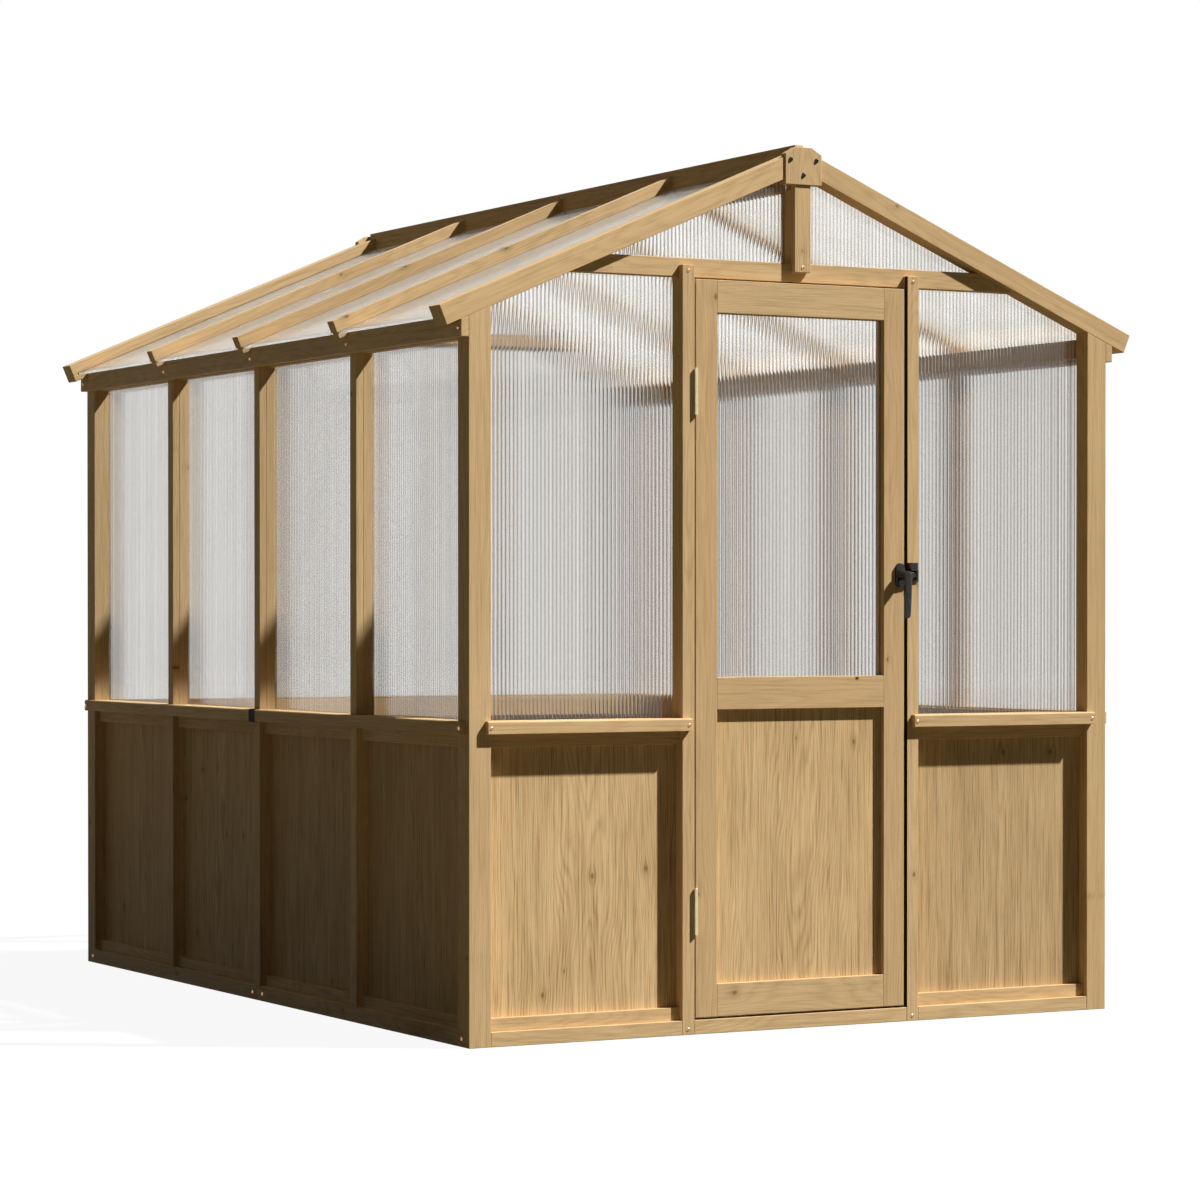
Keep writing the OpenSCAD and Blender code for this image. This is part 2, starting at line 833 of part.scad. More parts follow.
// rails with tongues that fill the stiles' grooves
module door_rails() {
    g = door_groove;
    zt = door_z + door_h;
    zp = door_mid_z + door_mid_h / 2;
    color("burlywood") {
        difference() {
            union() {
                box(door_in0, door_in1, yf, yf + door_t, door_z, door_z + door_low_h);
                door_pocket(door_in0 - g, door_in1 + g, door_z + door_low_h / 2,
                    door_z + door_low_h - g, panel_t);
            }
            door_pocket(door_in0, door_in1, door_z + door_low_h - g, door_z + door_low_h + 1, panel_t);
        }
        difference() {
            union() {
                box(door_in0, door_in1, yf, yf + door_t, door_mid_z, door_mid_z + door_mid_h);
                door_pocket(door_in0 - g, door_in1 + g, door_mid_z + g, zp, panel_t);
                door_pocket(door_in0 - g, door_in1 + g, zp, door_mid_z + door_mid_h - g, sheet_t);
            }
            door_pocket(door_in0, door_in1, door_mid_z - 1, door_mid_z + g, panel_t);
            door_pocket(door_in0, door_in1, door_mid_z + door_mid_h - g,
                door_mid_z + door_mid_h + 1, sheet_t);
        }
        difference() {
            union() {
                box(door_in0, door_in1, yf, yf + door_t, zt - door_top_h, zt);
                door_pocket(door_in0 - g, door_in1 + g, zt - door_top_h + g, zt - door_top_h / 2, sheet_t);
            }
            door_pocket(door_in0, door_in1, zt - door_top_h - 1, zt - door_top_h + g, sheet_t);
        }
    }
}

module door_panel() {
    e = door_groove - edge_gap;
    z0 = door_z + door_low_h - e;
    color("peru") door_pocket(door_in0 - e, door_in1 + e, z0, door_mid_z + e, panel_t);
}

module door_glazing() {
    e = door_groove - edge_gap;
    color("lightcyan", 0.35) door_pocket(door_in0 - e, door_in1 + e, door_mid_z + door_mid_h - e,
        door_z + door_h - door_top_h + e, sheet_t);
}

// Latch

module rose_shape(inset) {
    r = rose_w / 2;
    dz = rose_h / 2 - r;
    square([2 * (r - inset), 2 * dz], center = true);
    for (s = [-1, 1]) translate([0, s * dz]) circle(r = r - inset, $fn = 48);
}

module latch_rose() {
    color("#1c1c1e") translate([latch_x, yf, latch_z]) rotate([90, 0, 0]) difference() {
        union() {
            linear_extrude(rose_t - 1.5) rose_shape(0);
            linear_extrude(rose_t) rose_shape(1.5);
            cylinder(r = rose_w / 2 - 2, h = rose_t + collar_t, $fn = 48);
        }
        translate([0, 0, -1]) cylinder(r = spindle_d / 2 + pin_gap, h = rose_t + collar_t + 2, $fn = 48);
    }
}

// lever seen from the side: thickest at its head, bowed outwards, thin at the tip
function lever_mid(t) = lever_out - 5.5 - 4 * t * t;
function lever_half(t) = 5.5 - 1.8 * t;
lever_steps = 10;

module lever_side() {
    top = lever_w / 2;
    polygon([
        for (i = [0 : lever_steps]) let (t = i / lever_steps)
            [-lever_mid(t) - lever_half(t), top - t * (top + lever_l)],
        for (i = [lever_steps : -1 : 0]) let (t = i / lever_steps)
            [-lever_mid(t) + lever_half(t), top - t * (top + lever_l)]]);
}

module lever_front() {
    r1 = lever_w / 2;
    r2 = lever_w / 2 - 1.2;
    circle(r = r1, $fn = 48);
    translate([0, r2 - lever_l]) circle(r = r2, $fn = 48);
    polygon([[-r1, 0], [-r2, r2 - lever_l], [r2, r2 - lever_l], [r1, 0]]);
}

module latch_handle() {
    root = rose_t + collar_t + run_gap;
    r = spur_h / 2;
    color("#1c1c1e") translate([latch_x, yf, latch_z]) {
        rotate([90, 0, 0]) {
            translate([0, 0, run_gap]) cylinder(r = spindle_d / 2, h = lever_out - 6 - run_gap, $fn = 48);
            translate([0, 0, root]) cylinder(r = rose_w / 2 - 2, h = spur_t + 2, $fn = 48);
            translate([0, 0, root]) linear_extrude(spur_t) {
                polygon([[0, -r - 3], [spur_l - r, -r], [spur_l - r, r], [0, r + 3]]);
                translate([spur_l - r, 0]) circle(r = r, $fn = 48);
            }
        }
        intersection() {
            rotate([90, 0, 0]) linear_extrude(lever_out + 2) lever_front();
            translate([-lever_w, 0, 0]) rotate([90, 0, 90]) linear_extrude(2 * lever_w) lever_side();
        }
    }
}

// keep on the jamb: plate beside the spur's tip, nose above the spur
module latch_keep() {
    kz = latch_z + spur_h / 2 + 3 + spur_gap;
    out = rose_t + collar_t + run_gap + spur_t;
    color("#1c1c1e") translate([0, yf, 0]) {
        box(keep_x, keep_x + keep_w, -4, 0, kz + 3 - keep_h, kz + 3);
        translate([keep_x, 0, 0]) along_y(-out, 0) polygon([[0, kz + 3 - keep_h + 4],
            [4, kz + 3 - keep_h + 4], [4, kz + nose_h], [-nose_l, kz + nose_h], [-nose_l, kz + 2],
            [-nose_l + 2, kz], [0, kz]]);
    }
}

post();  // post_front_left
to_right() post();  // post_front_right
to_rear() post();  // post_rear_left
to_rear() to_right() post();  // post_rear_right
studs();  // studs_left
to_right() studs();  // studs_right
stud_covers();
studs_rear();
jamb();  // jamb_left
to_right() jamb();  // jamb_right
door_stops();
base_rails();  // base_rails_left
to_right() base_rails();  // base_rails_right
color("burlywood") base_rail_end();  // base_rail_front
color("burlywood") to_rear() base_rail_end();  // base_rail_rear
waist_rails();  // waist_rails_left
to_right() waist_rails();  // waist_rails_right
waist_rails_front();
waist_rails_rear();
top_rails();  // top_rails_left
to_right() top_rails();  // top_rails_right
side_panels();  // panels_left
to_right() side_panels();  // panels_right
panels_front();
panels_rear();
panel_battens();
side_sills();  // sills_left
to_right() side_sills();  // sills_right
sills_front();
sills_rear();
sill_clips();
side_glazing();  // glazing_left
to_right() side_glazing();  // glazing_right
glazing_front();
glazing_rear();
gable_glazing();
crossbeams();
king_posts();
eave_beam();  // eave_beam_left
to_right() eave_beam();  // eave_beam_right
gable_rafters();  // rafters_front
to_rear() gable_rafters();  // rafters_rear
side_rafters();  // rafters_left
to_right() side_rafters();  // rafters_right
ridge_board();
roof_glazing();  // roof_glazing_left
to_right() roof_glazing();  // roof_glazing_right
apex_plates();
apex_bolts();
frame_screws();
hinge_frame_leaves();
hinge_pins();
latch_keep();
door_stiles();
door_rails();
door_panel();
door_glazing();
hinge_door_leaves();
latch_rose();
latch_handle();
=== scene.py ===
import math

import bmesh
import bpy
import numpy as np
from mathutils import Matrix, Vector


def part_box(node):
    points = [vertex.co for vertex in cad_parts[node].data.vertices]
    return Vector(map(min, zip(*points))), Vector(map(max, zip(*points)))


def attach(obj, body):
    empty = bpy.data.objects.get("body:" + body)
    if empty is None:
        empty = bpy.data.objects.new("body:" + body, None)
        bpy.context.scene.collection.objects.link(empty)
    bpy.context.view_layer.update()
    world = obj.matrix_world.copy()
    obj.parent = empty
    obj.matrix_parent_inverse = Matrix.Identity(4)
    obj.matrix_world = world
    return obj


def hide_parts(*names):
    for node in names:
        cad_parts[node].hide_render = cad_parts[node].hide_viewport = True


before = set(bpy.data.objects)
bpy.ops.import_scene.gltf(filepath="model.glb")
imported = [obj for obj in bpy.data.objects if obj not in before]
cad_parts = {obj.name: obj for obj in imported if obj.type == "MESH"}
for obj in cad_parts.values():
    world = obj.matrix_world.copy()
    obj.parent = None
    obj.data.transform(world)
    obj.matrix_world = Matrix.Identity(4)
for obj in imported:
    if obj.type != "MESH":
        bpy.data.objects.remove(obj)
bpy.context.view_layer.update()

# Posts and studs: square corner posts, slimmer studs behind the side rails and cover
# strips on them, all sawn from one honey-stained softwood with eased edges. They stand
# on the ground, and everything else is housed in them or screwed to them.
MM = 0.001
POST = 58 * MM
HALF_W, HALF_D = 915 * MM, 1240 * MM
BAY, STUD_W = 564.75 * MM, 35 * MM
STEP_Y = BAY + STUD_W
# middles of the uprights, measured from the middle of the house, and a height on them
POST_X, POST_Y = HALF_W - POST / 2, HALF_D - POST / 2
STUD_X, COVER_X, JAMB_X = 876 * MM, 905 * MM, 323 * MM
STOP_X, STOP_Y = 300 * MM, 1190 * MM
MID_Z = 900 * MM
ALONG_X, ALONG_Y, UP = (1, 0, 0), (0, 1, 0), (0, 0, 1)
# no next board that way
FAR = 40.0
# points closer than this become one, and faces that turn by fewer radians are joined
WELD, FLAT = 0.01 * MM, 0.004
LIGHT_WOOD = (0.75, 0.535, 0.296, 1)
DARK_WOOD = (0.3, 0.19, 0.082, 1)
RED_WOOD = (0.56, 0.36, 0.175, 1)
KNOT_WOOD = (0.13, 0.068, 0.026, 1)
EYE_WOOD = (0.05, 0.028, 0.014, 1)
# near black painted shade for the jamb's face in the gap beside the closed door
PAINTED_GAP_SHADE = (0.032, 0.021, 0.011, 1)
RING_WIDTH, RING_SWAY = 5.2 * MM, 16 * MM
# a knot's least radius and the most that is added to it
KNOT_LEAST, KNOT_MORE = 2.2 * MM, 4.2 * MM


def step(tree, kind, feeds=None, **settings):
    """Adds one shader node, sets it up and feeds its sockets with values or other sockets."""
    made = tree.nodes.new(kind)
    for name, value in settings.items():
        setattr(made, name, value)
    for socket, value in (feeds or {}).items():
        if isinstance(value, bpy.types.NodeSocket):
            tree.links.new(value, made.inputs[socket])
        else:
            made.inputs[socket].default_value = value
    return made


def num(tree, operation, *values, clamp=False):
    """One Math node: its result for the given numbers or sockets."""
    return step(tree, "ShaderNodeMath", dict(enumerate(values)), operation=operation,
                use_clamp=clamp).outputs[0]


def vec(tree, operation, *values, out="Vector"):
    """One Vector Math node: its result for the given vectors or sockets."""
    return step(tree, "ShaderNodeVectorMath", dict(enumerate(values)), operation=operation).outputs[out]


def cloud(tree, place, stretch, detail=2.0, rough=0.5, out="Fac"):
    """Noise whose grains measure 1/stretch metres along each axis of place."""
    wide = vec(tree, "MULTIPLY", place, stretch)
    return step(tree, "ShaderNodeTexNoise", {"Vector": wide, "Scale": 1.0, "Detail": detail,
                "Roughness": rough}, noise_dimensions="3D").outputs[out]


def ramp(tree, value, low, high):
    """Smooth step: 0 where value is low, 1 where it is high."""
    return step(tree, "ShaderNodeMapRange", {0: value, 1: low, 2: high},
                interpolation_type="SMOOTHSTEP").outputs[0]


def blend(tree, amount, first, second):
    """Mixes two colours; amount 0 keeps the first."""
    return step(tree, "ShaderNodeMix", {0: amount, 6: first, 7: second}, data_type="RGBA").outputs[2]


def grain_group():
    """Inside of a sawn board, with X along the grain, Y across its face and Z through it.
    Growth rings are circles round a pith below the face, bent by slow noise; fibres, short
    flecks and clouds are noise drawn out along X; a knot is a cylinder through the face,
    one at most in each cell of the Knots vector, and it pushes the rings aside."""
    tree = bpy.data.node_groups.new("sawn board", "ShaderNodeTree")
    for name, kind in (("Place", "Vector"), ("Board", "Vector"), ("Knots", "Vector"), ("Figure", "Float")):
        tree.interface.new_socket(name, in_out="INPUT", socket_type="NodeSocket" + kind)
    for name, kind in (("Colour", "Color"), ("Roughness", "Float"), ("Height", "Float")):
        tree.interface.new_socket(name, in_out="OUTPUT", socket_type="NodeSocket" + kind)
    given = tree.nodes.new("NodeGroupInput").outputs
    board = step(tree, "ShaderNodeSeparateXYZ", {0: given["Board"]}).outputs
    # each board is cut from another stretch of the tree
    place = vec(tree, "ADD", given["Place"], vec(tree, "MULTIPLY", given["Board"], (9.0, 0, 0)))
    sway = vec(tree, "SUBTRACT", cloud(tree, place, (1.7, 9, 9), out="Color"), (0.5, 0.5, 0.5))
    bent = vec(tree, "ADD", place, vec(tree, "MULTIPLY", sway, (0, RING_SWAY, RING_SWAY)))
    # knots: the dice of a cell place the knot in it and give its size, or leave it out
    cell = vec(tree, "FLOOR", vec(tree, "ADD", vec(tree, "DIVIDE", place, given["Knots"]), (0, 0.5, 0)))
    cell = vec(tree, "MULTIPLY", cell, (1, 1, 0))
    dice = step(tree, "ShaderNodeTexWhiteNoise",
                {"Vector": vec(tree, "MULTIPLY_ADD", given["Board"], (53, 31, 17), cell)},
                noise_dimensions="3D").outputs["Color"]
    roll = step(tree, "ShaderNodeSeparateColor", {0: dice}).outputs
    spot = vec(tree, "MULTIPLY", vec(tree, "ADD", cell, vec(tree, "MULTIPLY_ADD", dice,
               (0.6, 0.7, 0), (0.2, -0.35, 0))), given["Knots"])
    off = step(tree, "ShaderNodeSeparateXYZ", {0: vec(tree, "SUBTRACT", bent, spot)}).outputs
    size = num(tree, "MULTIPLY_ADD", roll[1], KNOT_MORE, KNOT_LEAST)
    there = ramp(tree, roll[2], 0.66, 0.7)
    reach = num(tree, "SQRT", num(tree, "ADD", num(tree, "POWER", num(tree, "MULTIPLY", off[0], 0.72), 2.0),
                num(tree, "POWER", off[1], 2.0)))
    reach = num(tree, "MULTIPLY_ADD", num(tree, "SUBTRACT", cloud(tree, place, (160, 160, 160)), 0.5),
                3 * MM, reach)
    share = num(tree, "DIVIDE", reach, size)
    knot = num(tree, "MULTIPLY", ramp(tree, share, 1.3, 0.35), there)
    halo = num(tree, "MULTIPLY", num(tree, "EXPONENT", num(tree, "MULTIPLY",
               num(tree, "POWER", num(tree, "MULTIPLY", share, 0.36), 2.0), -1.0)), there)
    # rings, pushed aside round a knot
    side = num(tree, "MULTIPLY", off[1], num(tree, "MULTIPLY", halo, -0.75))
    flow = vec(tree, "ADD", bent, step(tree, "ShaderNodeCombineXYZ", {1: side}).outputs[0])
    pith = vec(tree, "MULTIPLY_ADD", given["Board"], (0, 0.05, 0.06), (0, -0.025, 0.035))
    across = vec(tree, "MULTIPLY", vec(tree, "ADD", flow, pith), (0, 1, 1))
    years = num(tree, "DIVIDE", vec(tree, "LENGTH", across, out="Value"), RING_WIDTH)
    years = num(tree, "MULTIPLY_ADD", cloud(tree, place, (3, 26, 26)), 2.4, years)
    years = num(tree, "MULTIPLY_ADD", cloud(tree, flow, (2.2, 9, 9), 1.0), 11.0, years)
    late = num(tree, "POWER", num(tree, "MULTIPLY_ADD", num(tree, "SINE",
               num(tree, "MULTIPLY", years, math.tau)), 0.5, 0.5), 2.2)
    # fibres, streaks, flecks, pores and clouds; each darkens the wood by its own weight
    fibre = cloud(tree, flow, (9, 620, 620), 3.0, 0.6)
    streak = ramp(tree, cloud(tree, flow, (2.2, 75, 75), 2.5, 0.6), 0.3, 0.72)
    stroke = ramp(tree, cloud(tree, flow, (5, 210, 210), 2.5), 0.46, 0.7)
    fleck = ramp(tree, cloud(tree, flow, (13, 400, 400), 2.0), 0.48, 0.7)
    pores = ramp(tree, cloud(tree, flow, (70, 1300, 1300), 1.0), 0.6, 0.7)
    patch = cloud(tree, place, (2.6, 8, 8), 2.0)
    dark = -0.02
    for mark, weight in ((late, 0.27), (streak, 0.22), (stroke, 0.4), (fleck, 0.26), (pores, 0.12),
                         (num(tree, "SUBTRACT", fibre, 0.5), 0.5), (ramp(tree, patch, 0.35, 0.7), 0.16)):
        dark = num(tree, "MULTIPLY_ADD", mark, weight, dark)
    dark = num(tree, "MULTIPLY", dark, given["Figure"])
    dark = num(tree, "MULTIPLY_ADD", halo, 0.3, dark, clamp=True)
    # colour, with each board a little redder or paler than the next
    colour = blend(tree, dark, LIGHT_WOOD, DARK_WOOD)
    colour = blend(tree, num(tree, "MULTIPLY_ADD", board[1], 0.3, num(tree, "MULTIPLY", patch, 0.1)),
                   colour, RED_WOOD)
    colour = blend(tree, num(tree, "MULTIPLY", knot, 0.58), colour, KNOT_WOOD)
    tone = num(tree, "MULTIPLY_ADD", board[2], 0.16, 0.93)
    colour = step(tree, "ShaderNodeVectorMath", {0: colour, "Scale": tone}, operation="SCALE").outputs[0]
    rough = num(tree, "MULTIPLY_ADD", fibre, 0.16, num(tree, "MULTIPLY_ADD", dark, 0.12, 0.44))
    height = num(tree, "MULTIPLY_ADD", late, 0.25, num(tree, "MULTIPLY", fibre, 0.7))
    height = num(tree, "SUBTRACT", height, num(tree, "MULTIPLY", pores, 0.5))
    height = num(tree, "MULTIPLY_ADD", knot, 0.4, height)
    step(tree, "NodeGroupOutput", {"Colour": colour, "Roughness": rough, "Height": height})
    return tree


GRAIN = grain_group()


def boards_at(x, y, z, next_x=None, next_y=None, next_z=FAR):
    """Middle of the first of a group of like boards, at minus x and minus y, and the way to the
    next one along each axis. Unless it is given, the next lies opposite, at plus x or plus y,
    and on a middle line there is none."""
    return (-x, -y, z), (next_x or 2 * x or FAR, next_y or 2 * y or FAR, next_z)


def wood(name, along, across, boards, knots=(0.45, 0.075), fold=False, seed=0.0, figure=0.6, eye=None,
         gap_shade_x=None):
    """Material for a group of like boards that lie where boards says, each with its own grain.
    along and across name the grain's axes, knots is the length and width of the cells that
    hold a knot at most, fold mirrors the place about X = 0 for members that slope both ways,
    and figure is how strongly the grain shows. eye is the X, the Z and the radius of one dark
    knot that shows on the face. The last argument is the X of the edge beside the closed door,
    where painted shade darkens the first 15 mm behind the front corner."""
    centre, pitch = boards
    made = bpy.data.materials.new(name)
    made.use_nodes = True
    tree = made.node_tree
    place = step(tree, "ShaderNodeTexCoord").outputs["Object"]
    flip = (0, 0, 0)
    if fold:
        flip = vec(tree, "MULTIPLY", vec(tree, "SIGN", place), (1, 0, 0))
        place = vec(tree, "ADD", vec(tree, "MULTIPLY", place, (0, 1, 1)),
                    vec(tree, "MULTIPLY", vec(tree, "ABSOLUTE", place), (-1, 0, 0)))
    near = vec(tree, "SUBTRACT", place, centre)
    number = vec(tree, "FLOOR", vec(tree, "ADD", vec(tree, "DIVIDE", near, pitch), (0.5, 0.5, 0.5)))
    near = vec(tree, "SUBTRACT", near, vec(tree, "MULTIPLY", number, pitch))
    number = vec(tree, "ADD", vec(tree, "ADD", number, flip), (seed, seed * 0.37, 0))
    board = step(tree, "ShaderNodeTexWhiteNoise", {"Vector": number}, noise_dimensions="3D").outputs["Color"]
    first, second = Vector(along).normalized(), Vector(across).normalized()
    turn = Matrix((first, second, first.cross(second))).to_euler()
    local = step(tree, "ShaderNodeMapping", {"Vector": near, "Rotation": tuple(turn)}).outputs[0]
    cut = step(tree, "ShaderNodeGroup", node_tree=GRAIN)
    tree.links.new(local, cut.inputs["Place"])
    tree.links.new(board, cut.inputs["Board"])
    cut.inputs["Knots"].default_value = (*knots, 1.0)
    cut.inputs["Figure"].default_value = figure
    finish = tree.nodes["Principled BSDF"]
    bump = step(tree, "ShaderNodeBump", {"Height": cut.outputs["Height"], "Strength": 0.35,
                "Distance": 0.6 * MM}).outputs[0]
    colour = cut.outputs["Colour"]
    if eye:
        x, z, radius = eye
        away = vec(tree, "MULTIPLY", vec(tree, "SUBTRACT", place, (x, 0, z)), (0.8, 0, 1))
        away = num(tree, "MULTIPLY_ADD", cloud(tree, place, (210, 210, 210)), 4 * MM,
                   vec(tree, "LENGTH", away, out="Value"))
        colour = blend(tree, ramp(tree, away, radius * 1.5, radius * 0.5), colour, EYE_WOOD)
    if gap_shade_x:
        # painted shade in the door gap: an upright ellipse about the corner, 1.2 mm wide and 15 mm deep
        away = vec(tree, "MULTIPLY", vec(tree, "SUBTRACT", place, (gap_shade_x, -HALF_D, 0)), (900, 72, 0))
        colour = blend(tree, ramp(tree, vec(tree, "LENGTH", away, out="Value"), 1.1, 0.7), colour, PAINTED_GAP_SHADE)
    tree.links.new(colour, finish.inputs["Base Color"])
    tree.links.new(cut.outputs["Roughness"], finish.inputs["Roughness"])
    tree.links.new(bump, finish.inputs["Normal"])
    finish.inputs["Specular IOR Level"].default_value = 0.05
    return made


def timber(names, finish, body="frame", ease=1.3 * MM):
    """Dresses CAD timbers: a copy with its doubles merged and flat faces joined, its edges
    eased by a small bevel, takes the place of each node."""
    for name in names:
        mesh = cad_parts[name].data.copy()
        work = bmesh.new()
        work.from_mesh(mesh)
        bmesh.ops.remove_doubles(work, verts=work.verts, dist=WELD)
        bmesh.ops.dissolve_limit(work, angle_limit=FLAT, verts=work.verts, edges=work.edges)
        work.to_mesh(mesh)
        work.free()
        mesh.materials.clear()
        mesh.materials.append(finish)
        piece = bpy.data.objects.new(name + "_timber", mesh)
        bpy.context.scene.collection.objects.link(piece)
        bevel = piece.modifiers.new("eased edges", "BEVEL")
        bevel.width = ease
        bevel.segments = 2
        bevel.limit_method = "ANGLE"
        bevel.angle_limit = math.radians(35)
        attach(piece, body)
        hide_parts(name)


timber(["post_front_left", "post_front_right", "post_rear_left", "post_rear_right"],
       wood("upright posts", UP, ALONG_Y, boards_at(POST_X, POST_Y, MID_Z), seed=3))
timber(["studs_left", "studs_right"],
       wood("side studs", UP, ALONG_Y, boards_at(STUD_X, 0, MID_Z, next_y=STEP_Y), seed=11))
timber(["stud_covers"],
       wood("stud cover strips", UP, ALONG_Y, boards_at(COVER_X, 0, MID_Z, next_y=STEP_Y), seed=17))
# the jambs get painted shade on the face in the gap beside the closed door
timber(["studs_rear", "jamb_left", "jamb_right"],
       wood("jambs", UP, ALONG_X, boards_at(JAMB_X, POST_Y, MID_Z), seed=23,
            gap_shade_x=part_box("jamb_right")[0].x))
timber(["door_stops"],
       wood("door stops", UP, ALONG_X, boards_at(STOP_X, STOP_Y, MID_Z, next_y=FAR), seed=29),
       ease=0.8 * MM)

# Base rails: flat timbers on the ground along the four walls, lapped over the feet of
# posts, studs and jambs and fixed there with dome-head screws.
BASE_X, BASE_Z, GABLE_BASE_Z = 900 * MM, 20 * MM, 18 * MM
LENGTH_Y = 600 * MM
timber(["base_rails_left", "base_rails_right"],
       wood("side base rails", ALONG_Y, UP, boards_at(BASE_X, LENGTH_Y, BASE_Z), seed=31))
timber(["base_rail_front", "base_rail_rear"],
       wood("gable base rails", ALONG_X, UP, boards_at(0, POST_Y, GABLE_BASE_Z), seed=37))

# Cross rails and battens: the rail under each sill and at the head of the side bays, and
# the thin batten that holds the foot of each lower panel, all let in behind the faces.
RAIL_X, RAIL_Y, RAIL_Z = 878 * MM, 1203 * MM, 731 * MM
UP_TO_HEAD = 961 * MM
BATTEN_X, BATTEN_Z = 890 * MM, 50 * MM
SIDE_BAY, GABLE_BAY = 899.6 * MM, 600 * MM
GABLE_REACH = 860 * MM
timber(["waist_rails_left", "waist_rails_right", "top_rails_left", "top_rails_right"],
       wood("side cross rails", ALONG_Y, UP,
            boards_at(RAIL_X, SIDE_BAY, RAIL_Z, next_y=STEP_Y, next_z=UP_TO_HEAD), seed=41))
timber(["waist_rails_front", "waist_rails_rear"],
       wood("gable cross rails", ALONG_X, UP,
            boards_at(GABLE_BAY, RAIL_Y, RAIL_Z, next_x=GABLE_BAY), seed=43))
timber(["panel_battens"],
       wood("side battens", ALONG_Y, UP, boards_at(BATTEN_X, SIDE_BAY, BATTEN_Z, next_y=STEP_Y), seed=47),
       ease=0.8 * MM)
# the grain of the gables' battens runs across, so their faces get a material of their own
battens = bpy.data.objects["panel_battens_timber"].data
battens.materials.append(wood("gable battens", ALONG_X, UP,
                              boards_at(GABLE_BAY, RAIL_Y, BATTEN_Z, next_x=GABLE_BAY), seed=49))
middle = np.empty(len(battens.polygons) * 3)
battens.polygons.foreach_get("center", middle)
battens.polygons.foreach_set("material_index", (abs(middle[::3]) < GABLE_REACH).astype(np.int32))

# Lower panels: one flat board in each bay with its grain upright, held in grooves of the
# posts, studs and rails.
PANEL_X, PANEL_Y, PANEL_Z = 874.5 * MM, 1199.5 * MM, 370 * MM
PANEL_STEP = 598.5 * MM
PANEL_KNOTS = (0.3, 0.14)
timber(["panels_left", "panels_right"],
       wood("side panels", UP, ALONG_Y, boards_at(PANEL_X, SIDE_BAY, PANEL_Z, next_y=STEP_Y),
            PANEL_KNOTS, seed=53, figure=1.0), ease=0.5 * MM)
timber(["panels_front", "panels_rear"],
       wood("gable panels", UP, ALONG_X, boards_at(PANEL_STEP, PANEL_Y, PANEL_Z, next_x=PANEL_STEP),
            PANEL_KNOTS, seed=59, figure=1.0), ease=0.5 * MM)

# Sills: weathered nosings over the waist rails with a drip groove below, in two lengths a
# side, screwed at their ends, with a folded dark metal clip over the joint in the middle.
SILL_X, SILL_Y, SILL_Z = 900 * MM, 1220 * MM, 750 * MM
timber(["sills_left", "sills_right"],
       wood("side sills", ALONG_Y, UP, boards_at(SILL_X, LENGTH_Y, SILL_Z), seed=61), ease=1.0 * MM)
timber(["sills_front", "sills_rear"],
       wood("gable sills", ALONG_X, UP, boards_at(GABLE_BAY, SILL_Y, SILL_Z, next_x=GABLE_BAY), seed=67),
       ease=1.0 * MM)


def plain(name, colour, second, metallic, rough, grain=900.0, bump=0.12, coat=0.0, specular=0.5):
    """Metal or coated metal: two close tones clouded by noise, uneven gloss and a fine bump."""
    made = bpy.data.materials.new(name)
    made.use_nodes = True
    tree = made.node_tree
    place = step(tree, "ShaderNodeTexCoord").outputs["Object"]
    worn = ramp(tree, cloud(tree, place, (70, 70, 70), 4.0, 0.6), 0.35, 0.7)
    fine = cloud(tree, place, (grain, grain, grain), 2.0)
    finish = tree.nodes["Principled BSDF"]
    tree.links.new(blend(tree, worn, colour, second), finish.inputs["Base Color"])
    tree.links.new(num(tree, "MULTIPLY_ADD", worn, 0.14, num(tree, "MULTIPLY_ADD", fine, 0.1, rough)),
                   finish.inputs["Roughness"])
    tree.links.new(step(tree, "ShaderNodeBump", {"Height": fine, "Strength": bump,
                   "Distance": 0.2 * MM}).outputs[0], finish.inputs["Normal"])
    finish.inputs["Metallic"].default_value = metallic
    finish.inputs["Coat Weight"].default_value = coat
    finish.inputs["Specular IOR Level"].default_value = specular
    return made


def finish_node(names, finish):
    """Gives CAD nodes that keep their own shape the finish of the real piece."""
    for name in names:
        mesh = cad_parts[name].data
        mesh.materials.clear()
        mesh.materials.append(finish)


finish_node(["sill_clips"], plain("dull black clip", (0.012, 0.013, 0.015, 1), (0.018, 0.02, 0.021, 1),
                                  metallic=0.0, rough=0.55, specular=0.03))

# Gable frames: a crossbeam on each gable lapped by jambs and king post, and a king post
# that carries the ridge.
BEAM_Y, BEAM_Z = 1202 * MM, 1852 * MM
KING_Y, KING_Z = 1205 * MM, 1970 * MM
timber(["crossbeams"], wood("crossbeams", ALONG_X, UP, boards_at(0, BEAM_Y, BEAM_Z), seed=71))
timber(["king_posts"], wood("king posts", UP, ALONG_X, boards_at(0, KING_Y, KING_Z), seed=73))

# Roof timbers: eave beams along the side walls, rafters that cross them, a deep ridge
# board between the gables and a shouldered plate bolted over each apex.
PITCH = math.radians(23)
EAVE_H = 1712 * MM
EAVE_X, EAVE_Z = 925 * MM, 1690 * MM
RAFTER_X, RAFTER_Z = 460 * MM, 1950 * MM
RIDGE_Z = 2110 * MM
PLATE_Y = 1230 * MM
slope = (math.cos(PITCH), 0, math.sin(PITCH))
square = (-math.sin(PITCH), 0, math.cos(PITCH))
timber(["eave_beam_left", "eave_beam_right"],
       wood("eave beams", ALONG_Y, UP, boards_at(EAVE_X, 0, EAVE_Z), seed=79))
timber(["rafters_front", "rafters_rear"],
       wood("gable rafters", slope, square, boards_at(RAFTER_X, POST_Y, RAFTER_Z, next_x=FAR),
            fold=True, seed=83))
timber(["rafters_left", "rafters_right"],
       wood("side rafters", slope, square, boards_at(RAFTER_X, 0, RAFTER_Z, next_x=FAR, next_y=STEP_Y),
            fold=True, seed=89))
timber(["ridge_board"],
       wood("ridge board", ALONG_Y, UP, boards_at(0, 0, RIDGE_Z), knots=(0.5, 0.12), seed=97))
